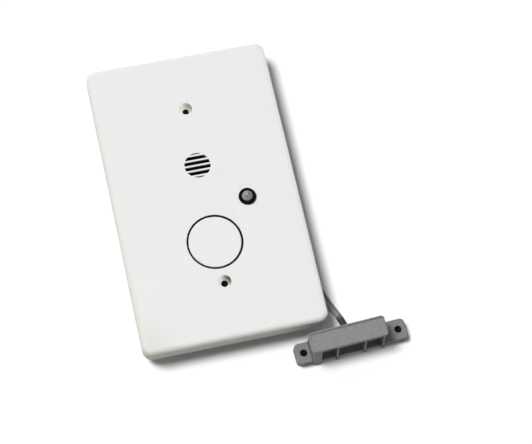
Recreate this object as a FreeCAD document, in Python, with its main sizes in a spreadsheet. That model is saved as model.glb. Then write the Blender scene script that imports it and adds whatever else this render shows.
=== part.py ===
import FreeCAD, Part

import math
import os

import Sketcher

# Wall-plate door alarm with a wired magnetic contact.
# Millimetres. +Z points out of the plate's face, +Y up its length, +X to its right.
# The origin is the centre of the rear housing's flat back, which lies on Z = 0.

Vector = FreeCAD.Vector
Z_AXIS = Vector(0, 0, 1)

DRIVING_SIZES = {
    # Front cover, a shallow moulded plate
    "plate_width": 83.0,
    "plate_height": 136.0,
    "plate_depth": 8.5,
    "plate_corner": 4.4,
    "edge_round": 2.4,
    "face_thick": 2.4,
    "wall_thick": 2.2,
    "rear_stand": 6.6,
    # Recessed holes for the two screws of a single wall box
    "box_screw_spacing": 83.34,
    "box_hole_radius": 1.8,
    "screw_recess_radius": 3.0,
    "screw_recess_depth": 4.2,
    "recess_round": 0.4,
    "screw_boss_radius": 4.6,
    "boss_lift": 0.5,
    # Sounder grille
    "grille_x": -0.5,
    "grille_radius": 5.9,
    "slot_pitch": 2.43,
    "slot_width": 1.65,
    "grille_web": 0.8,
    "grille_recess_gap": 0.3,
    # Ribs and skirt inside the cover
    "skirt_gap": 0.2,
    "skirt_thick": 1.2,
    "skirt_lift": 0.3,
    "rib_thick": 1.2,
    "rib_depth": 2.0,
    "rib_spacing": 28.0,
    # Rear housing
    "tub_width": 51.0,
    "tub_height": 73.0,
    "tub_corner": 3.0,
    "tub_wall": 1.5,
    "tub_floor": 2.4,
    "tub_lip": 1.0,
    # Circuit board on four pads, held down by four posts
    "board_gap": 1.8,
    "board_thick": 1.6,
    "board_margin": 0.5,
    "board_bay_gap": 0.7,
    "post_inset_x": 5.5,
    "post_inset_y": 5.3,
    "pad_gap": 1.5,
    "post_radius": 3.0,
    "pad_radius": 3.2,
    # Housing screws
    "screw_radius": 1.1,
    "screw_length": 8.0,
    "screw_head_radius": 2.2,
    "screw_head_height": 1.5,
    "head_recess_depth": 2.2,
    "head_clearance": 0.3,
    "hole_clearance": 0.25,
    "pilot_clearance": 0.05,
    # Push button
    "button_x": -0.45,
    "button_inset": 13.5,
    "button_hole_radius": 12.65,
    "button_gap": 0.9,
    "button_travel": 1.5,
    "button_top_thick": 2.0,
    "button_skirt_thick": 1.4,
    "button_round": 0.4,
    "collar_thick": 1.4,
    "collar_depth": 3.7,
    "moving_clearance": 0.3,
    "hook_thick": 1.1,
    "hook_reach": 0.65,
    "hook_width": 5.0,
    "guide_width": 1.6,
    "guide_drop": 2.7,
    "stem_radius": 2.5,
    "button_rib_depth": 1.5,
    "seal_drop": 0.35,
    "seal_thick": 1.0,
    "seal_clearance": 0.15,
    # Push switch on the board
    "switch_side": 12.0,
    "switch_height": 3.5,
    "plunger_radius": 3.3,
    "plunger_clearance": 0.1,
    "plunger_length": 2.6,
    "switch_floor": 0.6,
    "switch_pin_width": 1.2,
    "switch_pin_reach": 1.3,
    # Soldered parts
    "chip_inset": 11.0,
    "chip_y": -3.0,
    "chip_length": 8.7,
    "chip_width": 3.9,
    "chip_height": 1.6,
    "chip_leg_pitch": 1.27,
    "chip_leg_width": 0.45,
    "chip_leg_reach": 1.0,
    "chip_leg_height": 0.7,
    "capacitor_inset": 7.0,
    "capacitor_y": 6.5,
    "capacitor_radius": 2.5,
    "capacitor_groove": 0.4,
    "transistor_inset": 13.5,
    "transistor_y": 4.6,
    "transistor_radius": 2.3,
    "transistor_height": 4.6,
    "resistor_x": 7.5,
    "resistor_y": -4.6,
    "resistor_pitch": 3.0,
    "resistor_length": 4.2,
    "resistor_span": 7.6,
    "resistor_radius": 0.9,
    # Light
    "light_inset": 5.85,
    "light_y": -5.1,
    "light_radius": 2.5,
    "light_length": 9.9,
    "light_flange_radius": 2.9,
    "light_flange_thick": 1.0,
    "light_stand": 3.2,
    "light_lead_side": 0.5,
    "light_lead_pitch": 2.54,
    "light_lead_hole_radius": 0.5,
    "lead_tail": 0.6,
    "bezel_radius": 3.9,
    "bezel_height": 1.2,
    "bezel_shank_radius": 3.2,
    "bezel_bore_clearance": 0.1,
    "bezel_round": 0.5,
    "bezel_hole_clearance": 0.1,
    "ring_radius": 4.2,
    "ring_thick": 1.4,
    # Sounder
    "sounder_radius": 6.8,
    "gasket_thick": 0.5,
    "gasket_width": 1.0,
    "sound_hole_radius": 1.0,
    "sound_hole_depth": 1.0,
    # Battery across the top of the rear housing
    "battery_radius": 5.15,
    "battery_length": 28.5,
    "battery_nub_length": 1.0,
    "battery_nub_radius": 1.9,
    "battery_clearance": 0.3,
    "spring_length": 3.0,
    "spring_radius": 2.6,
    "spring_wire_radius": 0.3,
    "spring_turns": 3.0,
    "contact_thick": 0.4,
    "contact_side": 7.0,
    "bay_wall": 1.2,
    "bay_wall_height": 7.0,
    "bay_room": 0.65,
    # Battery door in the back
    "door_thick": 1.6,
    "door_end": 3.0,
    "door_ledge": 0.7,
    "door_gap": 0.15,
    "door_corner": 1.0,
    "door_opening_gap": 0.15,
    "door_screw_offset": 1.95,
    "door_screw_radius": 0.9,
    "door_screw_length": 4.4,
    "door_head_radius": 1.8,
    "door_boss_radius": 2.4,
    "door_boss_height": 3.4,
    "grip_depth": 0.4,
    "grip_width": 1.0,
    "grip_length": 7.0,
    "grip_pitch": 2.4,
    # Lead and its gland in the rear housing
    "lead_width": 2.8,
    "lead_thick": 1.4,
    "gland_z": 2.6,
    "gland_width": 4.4,
    "gland_height": 2.6,
    "gland_flange": 0.7,
    "gland_flange_thick": 1.0,
    "core_radius": 0.5,
    "core_spacing": 1.4,
    "core_bend": 0.8,
    "core_reach": 6.0,
    # Magnetic contact
    "contact_aside": 6.296,
    "contact_below": 8.932,
    "contact_turn": 2.6,
    "ear_hole_spacing": 43.7,
    "ear_offset": 2.1,
    "ear_shift": -0.1,
    "ear_hole_radius": 1.65,
    "ear_end": 3.7,
    "ear_width": 9.4,
    "ear_thick": 4.5,
    "ear_corner": 2.0,
    "case_length": 33.3,
    "case_width": 11.2,
    "case_base": 1.5,
    "case_height": 15.0,
    "case_draft": 0.4,
    "front_draft": 2.2,
    "case_corner": 1.2,
    "lid_thick": 1.8,
    "lid_overhang": 0.3,
    "lid_end_overhang": 1.2,
    "lid_corner": 1.4,
    "lid_round": 0.4,
    "panel_edge": 0.75,
    "panel_depth": 0.6,
    "case_wall": 1.0,
    "bay_depth": 1.7,
    "bay_notch": 1.3,
    "bay_block": 3.0,
    "bay_shift": 0.9,
    "bay_end": 1.35,
    "case_rib_x": 6.35,
    "case_rib_thick": 0.8,
    "bush_x": 1.8,
    "bush_width": 4.2,
    "bush_height": 2.6,
    "bush_z": 1.5,
    "bush_stand": 0.6,
    "reed_radius": 1.15,
    "reed_length": 13.0,
    "reed_z": 4.3,
    "reed_seat": 0.05,
    "cradle_x": 4.4,
    "cradle_thick": 2.0,
    "wire_radius": 0.3,
    "wire_bend": 0.9,
    "terminal_x": 11.0,
    "terminal_side": 2.6,
    "terminal_height": 1.2,
    "terminal_gap": 0.2,
}

doc = FreeCAD.newDocument("DoorAlarm")
sheet = doc.addObject("Spreadsheet::Sheet", "Sizes")
for row, (alias, value) in enumerate(DRIVING_SIZES.items(), start=1):
    sheet.set("A%d" % row, alias)
    sheet.set("B%d" % row, str(value))
    sheet.setAlias("B%d" % row, alias)
places = doc.addObject("Spreadsheet::Sheet", "Places")
doc.recompute()


def size(alias):
    """The number that the sheet holds under this alias."""
    return float(sheet.get(alias))


def cell(text):
    """An expression in which each driving size's word stands for its cell."""
    words = text.split(" ")
    return " ".join("Sizes." + word if word in DRIVING_SIZES else word for word in words)


def joined(*terms):
    """The sum of several expressions."""
    return " + ".join("( " + term + " )" for term in terms)


def less(first, *others):
    """The first expression less the others."""
    return "( " + first + " )" + "".join(" - ( " + term + " )" for term in others)


def value_of(expression):
    """The number that an expression comes to, worked out in a sheet that nothing else uses."""
    places.set("A1", "=" + cell(expression))
    places.recompute()
    return float(places.get("A1"))


# Heights and places that several pieces share, as expressions
RIM_Z = "rear_stand"
FACE_Z = joined(RIM_Z, "plate_depth")
FACE_IN_Z = less(FACE_Z, "face_thick")
TUB_TOP_Z = joined(RIM_Z, "tub_lip")
BOARD_Z = joined("tub_floor", "board_gap")
BOARD_TOP_Z = joined(BOARD_Z, "board_thick")
COLLAR_Z = less(FACE_IN_Z, "collar_depth")
HOOK_TOP_Z = less(COLLAR_Z, "moving_clearance")
HOOK_BOTTOM_Z = less(HOOK_TOP_Z, "hook_thick")
CAP_SKIRT_Z = joined(TUB_TOP_Z, "button_travel", "moving_clearance")
CAP_IN_Z = less(FACE_Z, "button_top_thick")
CAP_RADIUS = less("button_hole_radius", "button_gap")
CAP_BORE = less(CAP_RADIUS, "button_skirt_thick")
SWITCH_TOP_Z = joined(BOARD_TOP_Z, "switch_height")
STEM_Z = joined(SWITCH_TOP_Z, "button_travel")
BOX_SCREW_PLACES = (("0", "box_screw_spacing / 2"), ("0", "-1 * box_screw_spacing / 2"))
TUB_IN_X = less("tub_width / 2", "tub_wall")
TUB_IN_Y = less("tub_height / 2", "tub_wall")
BAY_IN_Y = less(TUB_IN_Y, "2 * battery_radius", "2 * bay_room")
BAY_Y = less(BAY_IN_Y, "bay_wall")
BATTERY_Y = "( " + joined(BAY_IN_Y, TUB_IN_Y) + " ) / 2"
BATTERY_Z = joined("door_thick", "battery_clearance", "battery_radius")
BAY_HALF = "( " + joined("battery_length", "spring_length", "2 * contact_thick") + " ) / 2"
BATTERY_LOW_X = joined("-1 * " + "( " + BAY_HALF + " )", "contact_thick", "spring_length")
DOOR_SCREW_X = joined(BAY_HALF, "bay_wall", "door_screw_offset")
DOOR_SCREW_PLACES = (("-1 * ( " + DOOR_SCREW_X + " )", BATTERY_Y), (DOOR_SCREW_X, BATTERY_Y))
DOOR_LENGTH = "2 * ( " + joined(DOOR_SCREW_X, "door_end") + " )"
DOOR_OPENING_LENGTH = "2 * ( " + less(BAY_HALF, "door_opening_gap") + " )"
DOOR_OPENING_WIDTH = "2 * ( " + joined("battery_radius", "door_opening_gap") + " )"
DOOR_WIDTH = joined(DOOR_OPENING_WIDTH, "2 * door_ledge")
POST_X = less("tub_width / 2", "post_inset_x")
POST_LOW_Y = less("post_inset_y", "tub_height / 2")
POST_HIGH_Y = less(BAY_Y, "pad_gap", "pad_radius")
POST_PLACES = tuple((x, y) for y in (POST_LOW_Y, POST_HIGH_Y) for x in ("-1 * ( " + POST_X + " )", POST_X))
BUTTON_Y = less("button_inset", "tub_height / 2")
GRILLE_Y = less(BAY_Y, "pad_gap", "sounder_radius")
LIGHT_X = less(TUB_IN_X, "light_inset")
GLAND_Y = joined(POST_LOW_Y, "pad_radius", "pad_gap")
CHIP_X = less("chip_inset", TUB_IN_X)
CAPACITOR_X = less("capacitor_inset", TUB_IN_X)
TRANSISTOR_X = less("transistor_inset", TUB_IN_X)
CONTACT_X = joined("plate_width / 2", "contact_aside")
CONTACT_Y = less("-1 * plate_height / 2", "contact_below")


def centred(length):
    """The low end of a length that is centred on nought."""
    return "-1 * ( " + length + " ) / 2"


def new_body(label):
    body = doc.addObject("PartDesign::Body", label)
    body.Label = label
    return body


def new_sketch(body, name, height="0", plane="XY_Plane"):
    """A sketch on one of the body's own origin planes, lifted by an expression."""
    drawing = body.newObject("Sketcher::SketchObject", name)
    support = [item for item in body.Origin.OriginFeatures if item.Role == plane][0]
    drawing.AttachmentSupport = [(support, "")]
    drawing.MapMode = "FlatFace"
    drawing.setExpression("AttachmentOffset.Base.z", cell(height))
    return drawing


def bind(drawing, constraint, expression):
    """Adds a dimension to a sketch and ties it to the sheet."""
    index = drawing.addConstraint(constraint)
    drawing.setExpression("Constraints[%d]" % index, cell(expression))


def rectangle(drawing, left, bottom, width, height):
    """A rectangle whose corner and sides are expressions."""
    first = drawing.GeometryCount
    corners = [Vector(0, 0, 0), Vector(10, 0, 0), Vector(10, 10, 0), Vector(0, 10, 0)]
    for k in range(4):
        drawing.addGeometry(Part.LineSegment(corners[k], corners[(k + 1) % 4]))
    for k in range(4):
        drawing.addConstraint(Sketcher.Constraint("Coincident", first + k, 2, first + (k + 1) % 4, 1))
        direction = "Vertical" if k % 2 else "Horizontal"
        drawing.addConstraint(Sketcher.Constraint(direction, first + k))
    bind(drawing, Sketcher.Constraint("DistanceX", first, 1, first, 2, 10.0), width)
    bind(drawing, Sketcher.Constraint("DistanceY", first + 1, 1, first + 1, 2, 10.0), height)
    bind(drawing, Sketcher.Constraint("DistanceX", -1, 1, first, 1, 0.0), left)
    bind(drawing, Sketcher.Constraint("DistanceY", -1, 1, first, 1, 0.0), bottom)


def centred_rectangle(drawing, width, height, x="0", y="0"):
    """A rectangle about a centre point."""
    rectangle(drawing, joined(x, centred(width)), joined(y, centred(height)), width, height)


def disc(drawing, x, y, radius):
    """A circle whose centre and radius are expressions."""
    index = drawing.addGeometry(Part.Circle(Vector(5, 5, 0), Z_AXIS, 3))
    bind(drawing, Sketcher.Constraint("Radius", index, 3.0), radius)
    bind(drawing, Sketcher.Constraint("DistanceX", -1, 1, index, 3, 5.0), x)
    bind(drawing, Sketcher.Constraint("DistanceY", -1, 1, index, 3, 5.0), y)


def add_feature(body, kind, name, drawing, length, reversed_way=False):
    """A pad or pocket of a sketch by an expression."""
    feature = body.newObject("PartDesign::" + kind, name)
    feature.Profile = drawing
    feature.setExpression("Length", cell(length))
    feature.Reversed = reversed_way
    doc.recompute()
    return feature


def pad(body, name, height, length, draw):
    """Draws with a function at a height and pads the outline upwards."""
    drawing = new_sketch(body, name + "_sketch", height)
    draw(drawing)
    return add_feature(body, "Pad", name, drawing, length)


def pocket(body, name, height, length, draw):
    """Draws with a function at a height and cuts the outline upwards from there."""
    before = body.Shape.Volume
    drawing = new_sketch(body, name + "_sketch", height)
    draw(drawing)
    feature = add_feature(body, "Pocket", name, drawing, length, reversed_way=True)
    if body.Shape.Volume >= before:
        raise RuntimeError(name + " cuts nothing")
    return feature


def edge_names(shape, wanted):
    """The names of the shape's edges that pass a test."""
    return ["Edge%d" % (k + 1) for k, edge in enumerate(shape.Edges) if wanted(edge)]


def is_upright(edge):
    """True for a straight edge along Z."""
    low, high = edge.Vertexes[0].Point, edge.Vertexes[-1].Point
    return isinstance(edge.Curve, Part.Line) and abs(low.z - high.z) > 0.9 * edge.Length


def lies_at(edge, height):
    """True for an edge that lies flat at a height."""
    box = edge.BoundBox
    return abs(box.ZMin - height) < 1e-4 and abs(box.ZMax - height) < 1e-4


def round_edges(body, name, base, wanted, radius):
    """Fillets the edges of the last feature that pass a test."""
    feature = body.newObject("PartDesign::Fillet", name)
    feature.Base = (base, edge_names(base.Shape, wanted))
    feature.setExpression("Radius", cell(radius))
    doc.recompute()
    return feature


def cylinder(label, x, y, z, radius, length, axis=None):
    """A Part cylinder whose place and sizes are expressions; its axis is Z or X."""
    item = doc.addObject("Part::Cylinder", label)
    item.Label = label
    if axis == "x":
        item.Placement = FreeCAD.Placement(Vector(0, 0, 0), FreeCAD.Rotation(Vector(0, 1, 0), 90))
    for key, value in (("Radius", radius), ("Height", length)):
        item.setExpression(key, cell(value))
    for key, value in (("x", x), ("y", y), ("z", z)):
        item.setExpression("Placement.Base." + key, cell(value))
    return item


def block(label, x, y, z, length, width, height):
    """A Part box by its low corner and sides, all expressions."""
    item = doc.addObject("Part::Box", label)
    item.Label = label
    for key, value in (("Length", length), ("Width", width), ("Height", height)):
        item.setExpression(key, cell(value))
    for key, value in (("x", x), ("y", y), ("z", z)):
        item.setExpression("Placement.Base." + key, cell(value))
    return item


def combined(label, kind, items):
    """A Part fuse or compound of several objects."""
    if kind == "Compound":
        item = doc.addObject("Part::Compound", label)
        item.Links = items
    else:
        item = doc.addObject("Part::MultiFuse", label)
        item.Shapes = items
    item.Label = label
    return item


def cut(label, base, tool):
    item = doc.addObject("Part::Cut", label)
    item.Label = label
    item.Base = base
    item.Tool = tool
    return item


def fixed_shape(label, shape, placement=None):
    """A sub-part whose shape is made here from the sheet's values."""
    item = doc.addObject("Part::Feature", label)
    item.Label = label
    item.Shape = shape
    if placement:
        item.Placement = placement
    return item


def tangent_path(points, bends):
    """One wire of straight runs joined by tangent arcs of the given radii."""
    edges = []
    start = points[0]
    for before, corner, after, radius in zip(points, points[1:], points[2:], bends):
        incoming = (corner - before).normalize()
        outgoing = (after - corner).normalize()
        half_turn = incoming.getAngle(outgoing) / 2
        reach = radius * math.tan(half_turn)
        first = corner - incoming * reach
        last = corner + outgoing * reach
        inward = (outgoing - incoming).normalize()
        middle = corner + inward * radius * (1 / math.cos(half_turn) - 1)
        edges.append(Part.LineSegment(start, first).toShape())
        edges.append(Part.Arc(first, middle, last).toShape())
        start = last
    edges.append(Part.LineSegment(start, points[-1]).toShape())
    return Part.Wire(edges)


def bent_wire(points, bend, radius):
    """A round wire along runs joined by equal bends."""
    path = tangent_path(points, [bend] * (len(points) - 2))
    section = Part.Wire([Part.makeCircle(radius, points[0], points[1] - points[0])])
    return path.makePipeShell([section], True, False)


# Front cover


def grille_slot(drawing, middle_steps):
    """One grille slot: a strip across the grille's circle, whose ends follow the circle."""
    radius = size("grille_radius")
    centre = Vector(size("grille_x"), value_of(GRILLE_Y), 0)
    circle = Part.Circle(centre, Z_AXIS, radius)
    middle = middle_steps * size("slot_pitch")
    low, high = middle - size("slot_width") / 2, middle + size("slot_width") / 2
    sides = []
    angles = []
    for level, way in ((low, 1), (high, -1)):
        if abs(level) >= radius - size("slot_width") / 10:
            continue
        half = math.sqrt(radius ** 2 - level ** 2)
        start = Vector(centre.x - half * way, centre.y + level, 0)
        end = Vector(centre.x + half * way, centre.y + level, 0)
        sides.append(drawing.addGeometry(Part.LineSegment(start, end)))
        angles.append((math.atan2(level, -half * way), math.atan2(level, half * way)))
        edge = "-1 * slot_width / 2" if level == low else "slot_width / 2"
        place = joined(GRILLE_Y, "%s * slot_pitch" % middle_steps, edge)
        drawing.addConstraint(Sketcher.Constraint("Horizontal", sides[-1]))
        bind(drawing, Sketcher.Constraint("DistanceY", -1, 1, sides[-1], 1, start.y), place)
    arcs = []
    for k in range(len(sides)):
        turn_from = angles[k][1]
        turn_to = angles[(k + 1) % len(sides)][0]
        if turn_to <= turn_from:
            turn_to += 2 * math.pi
        arcs.append(drawing.addGeometry(Part.ArcOfCircle(circle, turn_from, turn_to)))
        drawing.addConstraint(Sketcher.Constraint("Coincident", sides[k], 2, arcs[k], 1))
    for k in range(len(sides)):
        drawing.addConstraint(Sketcher.Constraint("Coincident", arcs[k], 2, sides[(k + 1) % len(sides)], 1))
    bind(drawing, Sketcher.Constraint("Radius", arcs[0], radius), "grille_radius")
    bind(drawing, Sketcher.Constraint("DistanceX", -1, 1, arcs[0], 3, centre.x), "grille_x")
    bind(drawing, Sketcher.Constraint("DistanceY", -1, 1, arcs[0], 3, centre.y), GRILLE_Y)
    for arc in arcs[1:]:
        drawing.addConstraint(Sketcher.Constraint("Coincident", arcs[0], 3, arc, 3))
        drawing.addConstraint(Sketcher.Constraint("Equal", arcs[0], arc))


def draw_grille(drawing):
    """Slots at even steps about the grille's centre, as many as its circle takes."""
    reach = size("grille_radius") + 0.4 * size("slot_width")
    each_side = math.floor(reach / size("slot_pitch") + 0.5)
    for k in range(-each_side, each_side):
        grille_slot(drawing, k + 0.5)


def draw_skirt(drawing):
    """The wall that takes the rear housing's lip, as an outer and an inner rectangle."""
    for extra in ("2 * skirt_gap", "2 * skirt_gap + 2 * skirt_thick"):
        centred_rectangle(drawing, joined("tub_width", extra), joined("tub_height", extra))


def draw_ribs(drawing):
    """Stiffening ribs between the skirt and the outer walls, rooted in both."""
    root = "rib_thick / 2"
    for half_tub, half_plate, upright in (("tub_height / 2", "plate_height / 2", True),
                                          ("tub_width / 2", "plate_width / 2", False)):
        inner = less(joined(half_tub, "skirt_gap", "skirt_thick"), root)
        outer = joined(less(half_plate, "wall_thick"), root)
        length = less(outer, inner)
        for side in ("-1", "1"):
            across = less(side + " * rib_spacing / 2", "rib_thick / 2")
            for along in (inner, "-1 * ( " + outer + " )"):
                if upright:
                    rectangle(drawing, across, along, "rib_thick", length)
                else:
                    rectangle(drawing, along, across, length, "rib_thick")


def make_front_cover():
    body = new_body("front_cover")
    face_z = size("rear_stand") + size("plate_depth")
    inner_x = size("plate_width") / 2 - size("wall_thick")
    inner_y = size("plate_height") / 2 - size("wall_thick")
    skirt_in_x = size("tub_width") / 2 + size("skirt_gap")
    skirt_in_y = size("tub_height") / 2 + size("skirt_gap")

    def at_corner(edge, x, y):
        middle = edge.CenterOfMass
        return is_upright(edge) and abs(abs(middle.x) - x) < 1e-4 and abs(abs(middle.y) - y) < 1e-4

    plate = pad(body, "plate", RIM_Z, "plate_depth",
                lambda drawing: centred_rectangle(drawing, "plate_width", "plate_height"))
    corners = round_edges(body, "plate_corners", plate, is_upright, "plate_corner")
    round_edges(body, "face_edge", corners, lambda edge: lies_at(edge, face_z), "edge_round")
    hollow = pocket(body, "hollow", RIM_Z, less("plate_depth", "face_thick"),
                    lambda drawing: centred_rectangle(drawing, less("plate_width", "2 * wall_thick"),
                                                      less("plate_height", "2 * wall_thick")))
    round_edges(body, "hollow_corners", hollow, lambda edge: at_corner(edge, inner_x, inner_y),
                less("plate_corner", "wall_thick"))
    skirt_z = joined(RIM_Z, "skirt_lift")
    skirt = pad(body, "skirt", skirt_z, less(FACE_IN_Z, skirt_z), draw_skirt)
    skirt = round_edges(body, "skirt_inner_corners", skirt,
                        lambda edge: at_corner(edge, skirt_in_x, skirt_in_y), "tub_corner")
    thick = size("skirt_thick")
    round_edges(body, "skirt_outer_corners", skirt,
                lambda edge: at_corner(edge, skirt_in_x + thick, skirt_in_y + thick),
                joined("tub_corner", "skirt_thick"))
    pad(body, "ribs", less(FACE_IN_Z, "rib_depth"), "rib_depth", draw_ribs)
    pad(body, "posts", BOARD_TOP_Z, less(FACE_IN_Z, BOARD_TOP_Z),
        lambda drawing: [disc(drawing, x, y, "post_radius") for x, y in POST_PLACES])
    boss_z = joined(RIM_Z, "boss_lift")
    pad(body, "screw_bosses", boss_z, less(FACE_IN_Z, boss_z),
        lambda drawing: [disc(drawing, x, y, "screw_boss_radius") for x, y in BOX_SCREW_PLACES])
    pad(body, "button_collar", COLLAR_Z, "collar_depth",
        lambda drawing: disc(drawing, "button_x", BUTTON_Y, joined("button_hole_radius", "collar_thick")))
    pocket(body, "button_hole", COLLAR_Z, less(FACE_Z, COLLAR_Z),
           lambda drawing: disc(drawing, "button_x", BUTTON_Y, "button_hole_radius"))
    recess_z = less(FACE_Z, "screw_recess_depth")
    recesses = pocket(body, "screw_recesses", recess_z, "screw_recess_depth",
                      lambda drawing: [disc(drawing, x, y, "screw_recess_radius") for x, y in BOX_SCREW_PLACES])
    recess_round = 2 * math.pi * size("screw_recess_radius")
    round_edges(body, "recess_rims", recesses,
                lambda edge: lies_at(edge, face_z) and abs(edge.Length - recess_round) < 1e-4, "recess_round")
    pocket(body, "box_screw_holes", boss_z, less(recess_z, boss_z),
           lambda drawing: [disc(drawing, x, y, "box_hole_radius") for x, y in BOX_SCREW_PLACES])
    pocket(body, "light_hole", FACE_IN_Z, "face_thick",
           lambda drawing: disc(drawing, LIGHT_X, "light_y",
                                joined("bezel_shank_radius", "bezel_hole_clearance")))
    pilot_top = joined("head_recess_depth", "screw_length", "moving_clearance")
    pocket(body, "pilot_holes", BOARD_TOP_Z, less(pilot_top, BOARD_TOP_Z),
           lambda drawing: [disc(drawing, x, y, joined("screw_radius", "pilot_clearance"))
                            for x, y in POST_PLACES])
    pocket(body, "grille_recess", FACE_IN_Z, less("face_thick", "grille_web"),
           lambda drawing: disc(drawing, "grille_x", GRILLE_Y, joined("grille_radius", "grille_recess_gap")))
    pocket(body, "grille", less(FACE_Z, "grille_web"), "grille_web", draw_grille)
    return body


# Rear housing, battery door and screws


def make_rear_housing():
    body = new_body("rear_housing")
    in_x = size("tub_width") / 2 - size("tub_wall")
    in_y = size("tub_height") / 2 - size("tub_wall")
    tub = pad(body, "tub", "0", TUB_TOP_Z,
              lambda drawing: centred_rectangle(drawing, "tub_width", "tub_height"))
    tub = round_edges(body, "tub_corners", tub, is_upright, "tub_corner")
    round_edges(body, "tub_edge", tub, lambda edge: lies_at(edge, 0), "tub_wall / 2")
    inside = pocket(body, "inside", "tub_floor", less(TUB_TOP_Z, "tub_floor"),
                    lambda drawing: centred_rectangle(drawing, "2 * ( " + TUB_IN_X + " )",
                                                      "2 * ( " + TUB_IN_Y + " )"))
    round_edges(body, "inside_corners", inside,
                lambda edge: is_upright(edge) and abs(abs(edge.CenterOfMass.x) - in_x) < 1e-4
                and abs(abs(edge.CenterOfMass.y) - in_y) < 1e-4, less("tub_corner", "tub_wall"))
    pad(body, "board_pads", "tub_floor", "board_gap",
        lambda drawing: [disc(drawing, x, y, "pad_radius") for x, y in POST_PLACES])
    pad(body, "bay_partition", "tub_floor", "bay_wall_height",
        lambda drawing: rectangle(drawing, "-1 * ( " + TUB_IN_X + " )", BAY_Y,
                                  "2 * ( " + TUB_IN_X + " )", "bay_wall"))
    bay_depth_y = less(TUB_IN_Y, BAY_IN_Y)
    pad(body, "bay_ends", "tub_floor", "bay_wall_height",
        lambda drawing: [rectangle(drawing, left, BAY_IN_Y, "bay_wall", bay_depth_y)
                         for left in (BAY_HALF, "-1 * ( " + BAY_HALF + " ) - bay_wall")])
    pad(body, "door_bosses", "tub_floor", "door_boss_height",
        lambda drawing: [disc(drawing, x, y, "door_boss_radius") for x, y in DOOR_SCREW_PLACES])
    pocket(body, "door_recess", "0", "door_thick",
           lambda drawing: centred_rectangle(drawing, joined(DOOR_LENGTH, "2 * door_gap"),
                                             joined(DOOR_WIDTH, "2 * door_gap"), "0", BATTERY_Y))
    pocket(body, "door_opening", "door_thick", less("tub_floor", "door_thick"),
           lambda drawing: centred_rectangle(drawing, DOOR_OPENING_LENGTH, DOOR_OPENING_WIDTH,
                                             "0", BATTERY_Y))
    pocket(body, "door_pilot_holes", "door_thick", "door_screw_length",
           lambda drawing: [disc(drawing, x, y, joined("door_screw_radius", "pilot_clearance"))
                            for x, y in DOOR_SCREW_PLACES])
    pocket(body, "screw_holes", "0", BOARD_Z,
           lambda drawing: [disc(drawing, x, y, joined("screw_radius", "hole_clearance"))
                            for x, y in POST_PLACES])
    pocket(body, "head_recesses", "0", "head_recess_depth",
           lambda drawing: [disc(drawing, x, y, joined("screw_head_radius", "head_clearance"))
                            for x, y in POST_PLACES])
    window = new_sketch(body, "gland_window_sketch", TUB_IN_X, "YZ_Plane")
    centred_rectangle(window, "gland_width", "gland_height", GLAND_Y, "gland_z")
    add_feature(body, "Pocket", "gland_window", window, "2 * tub_wall", reversed_way=True)
    return body


def make_battery_door():
    body = new_body("battery_door")
    door = pad(body, "door", "0", "door_thick",
               lambda drawing: centred_rectangle(drawing, DOOR_LENGTH, DOOR_WIDTH, "0", BATTERY_Y))
    round_edges(body, "door_corners", door, is_upright, "door_corner")
    holes = pocket(body, "door_holes", "0", "door_thick",
                   lambda drawing: [disc(drawing, x, y, joined("door_screw_radius", "hole_clearance"))
                                    for x, y in DOOR_SCREW_PLACES])
    sinks = body.newObject("PartDesign::Chamfer", "door_countersinks")
    round_rims = edge_names(holes.Shape, lambda edge: lies_at(edge, 0) and len(edge.Vertexes) == 1)
    sinks.Base = (holes, round_rims)
    sinks.setExpression("Size", cell(less("door_head_radius", "door_screw_radius")))
    doc.recompute()
    pocket(body, "finger_grooves", "0", "grip_depth",
           lambda drawing: [centred_rectangle(drawing, "grip_width", "grip_length",
                                              "%d * grip_pitch" % k, BATTERY_Y) for k in range(-2, 3)])
    return body


def make_door_screws():
    screws = []
    for k, (x, y) in enumerate(DOOR_SCREW_PLACES):
        head = doc.addObject("Part::Cone", "door_screw_head_%d" % k)
        head.setExpression("Radius1", cell("door_head_radius"))
        head.setExpression("Radius2", cell("door_screw_radius"))
        head.setExpression("Height", cell(less("door_head_radius", "door_screw_radius")))
        head.setExpression("Placement.Base.x", cell(x))
        head.setExpression("Placement.Base.y", cell(y))
        head.setExpression("Placement.Base.z", cell("hole_clearance / 2"))
        shank = cylinder("door_screw_shank_%d" % k, x, y, "hole_clearance / 2", "door_screw_radius",
                         "door_screw_length")
        screws.append(combined("door_screw_%d" % k, "Fuse", [head, shank]))
    return combined("battery_door_screws", "Compound", screws)


def make_housing_screws():
    screws = []
    for k, (x, y) in enumerate(POST_PLACES):
        head = cylinder("screw_head_%d" % k, x, y, less("head_recess_depth", "screw_head_height"),
                        "screw_head_radius", "screw_head_height")
        shank = cylinder("screw_shank_%d" % k, x, y, "head_recess_depth", "screw_radius", "screw_length")
        screws.append(combined("screw_%d" % k, "Fuse", [head, shank]))
    return combined("housing_screws", "Compound", screws)


# Circuit board and what is soldered to it


def make_circuit_board():
    body = new_body("circuit_board")
    half_x = less(TUB_IN_X, "board_margin")
    low_y = "-1 * ( " + less(TUB_IN_Y, "board_margin") + " )"
    board = pad(body, "board", BOARD_Z, "board_thick",
                lambda drawing: rectangle(drawing, "-1 * ( " + half_x + " )", low_y,
                                          "2 * ( " + half_x + " )", less(BAY_Y, "board_bay_gap", low_y)))
    round_edges(body, "board_corners", board, is_upright, "board_margin")
    pocket(body, "board_screw_holes", BOARD_Z, "board_thick",
           lambda drawing: [disc(drawing, x, y, joined("screw_radius", "hole_clearance"))
                            for x, y in POST_PLACES])
    pocket(body, "light_lead_holes", BOARD_Z, "board_thick",
           lambda drawing: [disc(drawing, joined(LIGHT_X, side + " * light_lead_pitch / 2"), "light_y",
                                 "light_lead_hole_radius") for side in ("-1", "1")])
    return body


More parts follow.
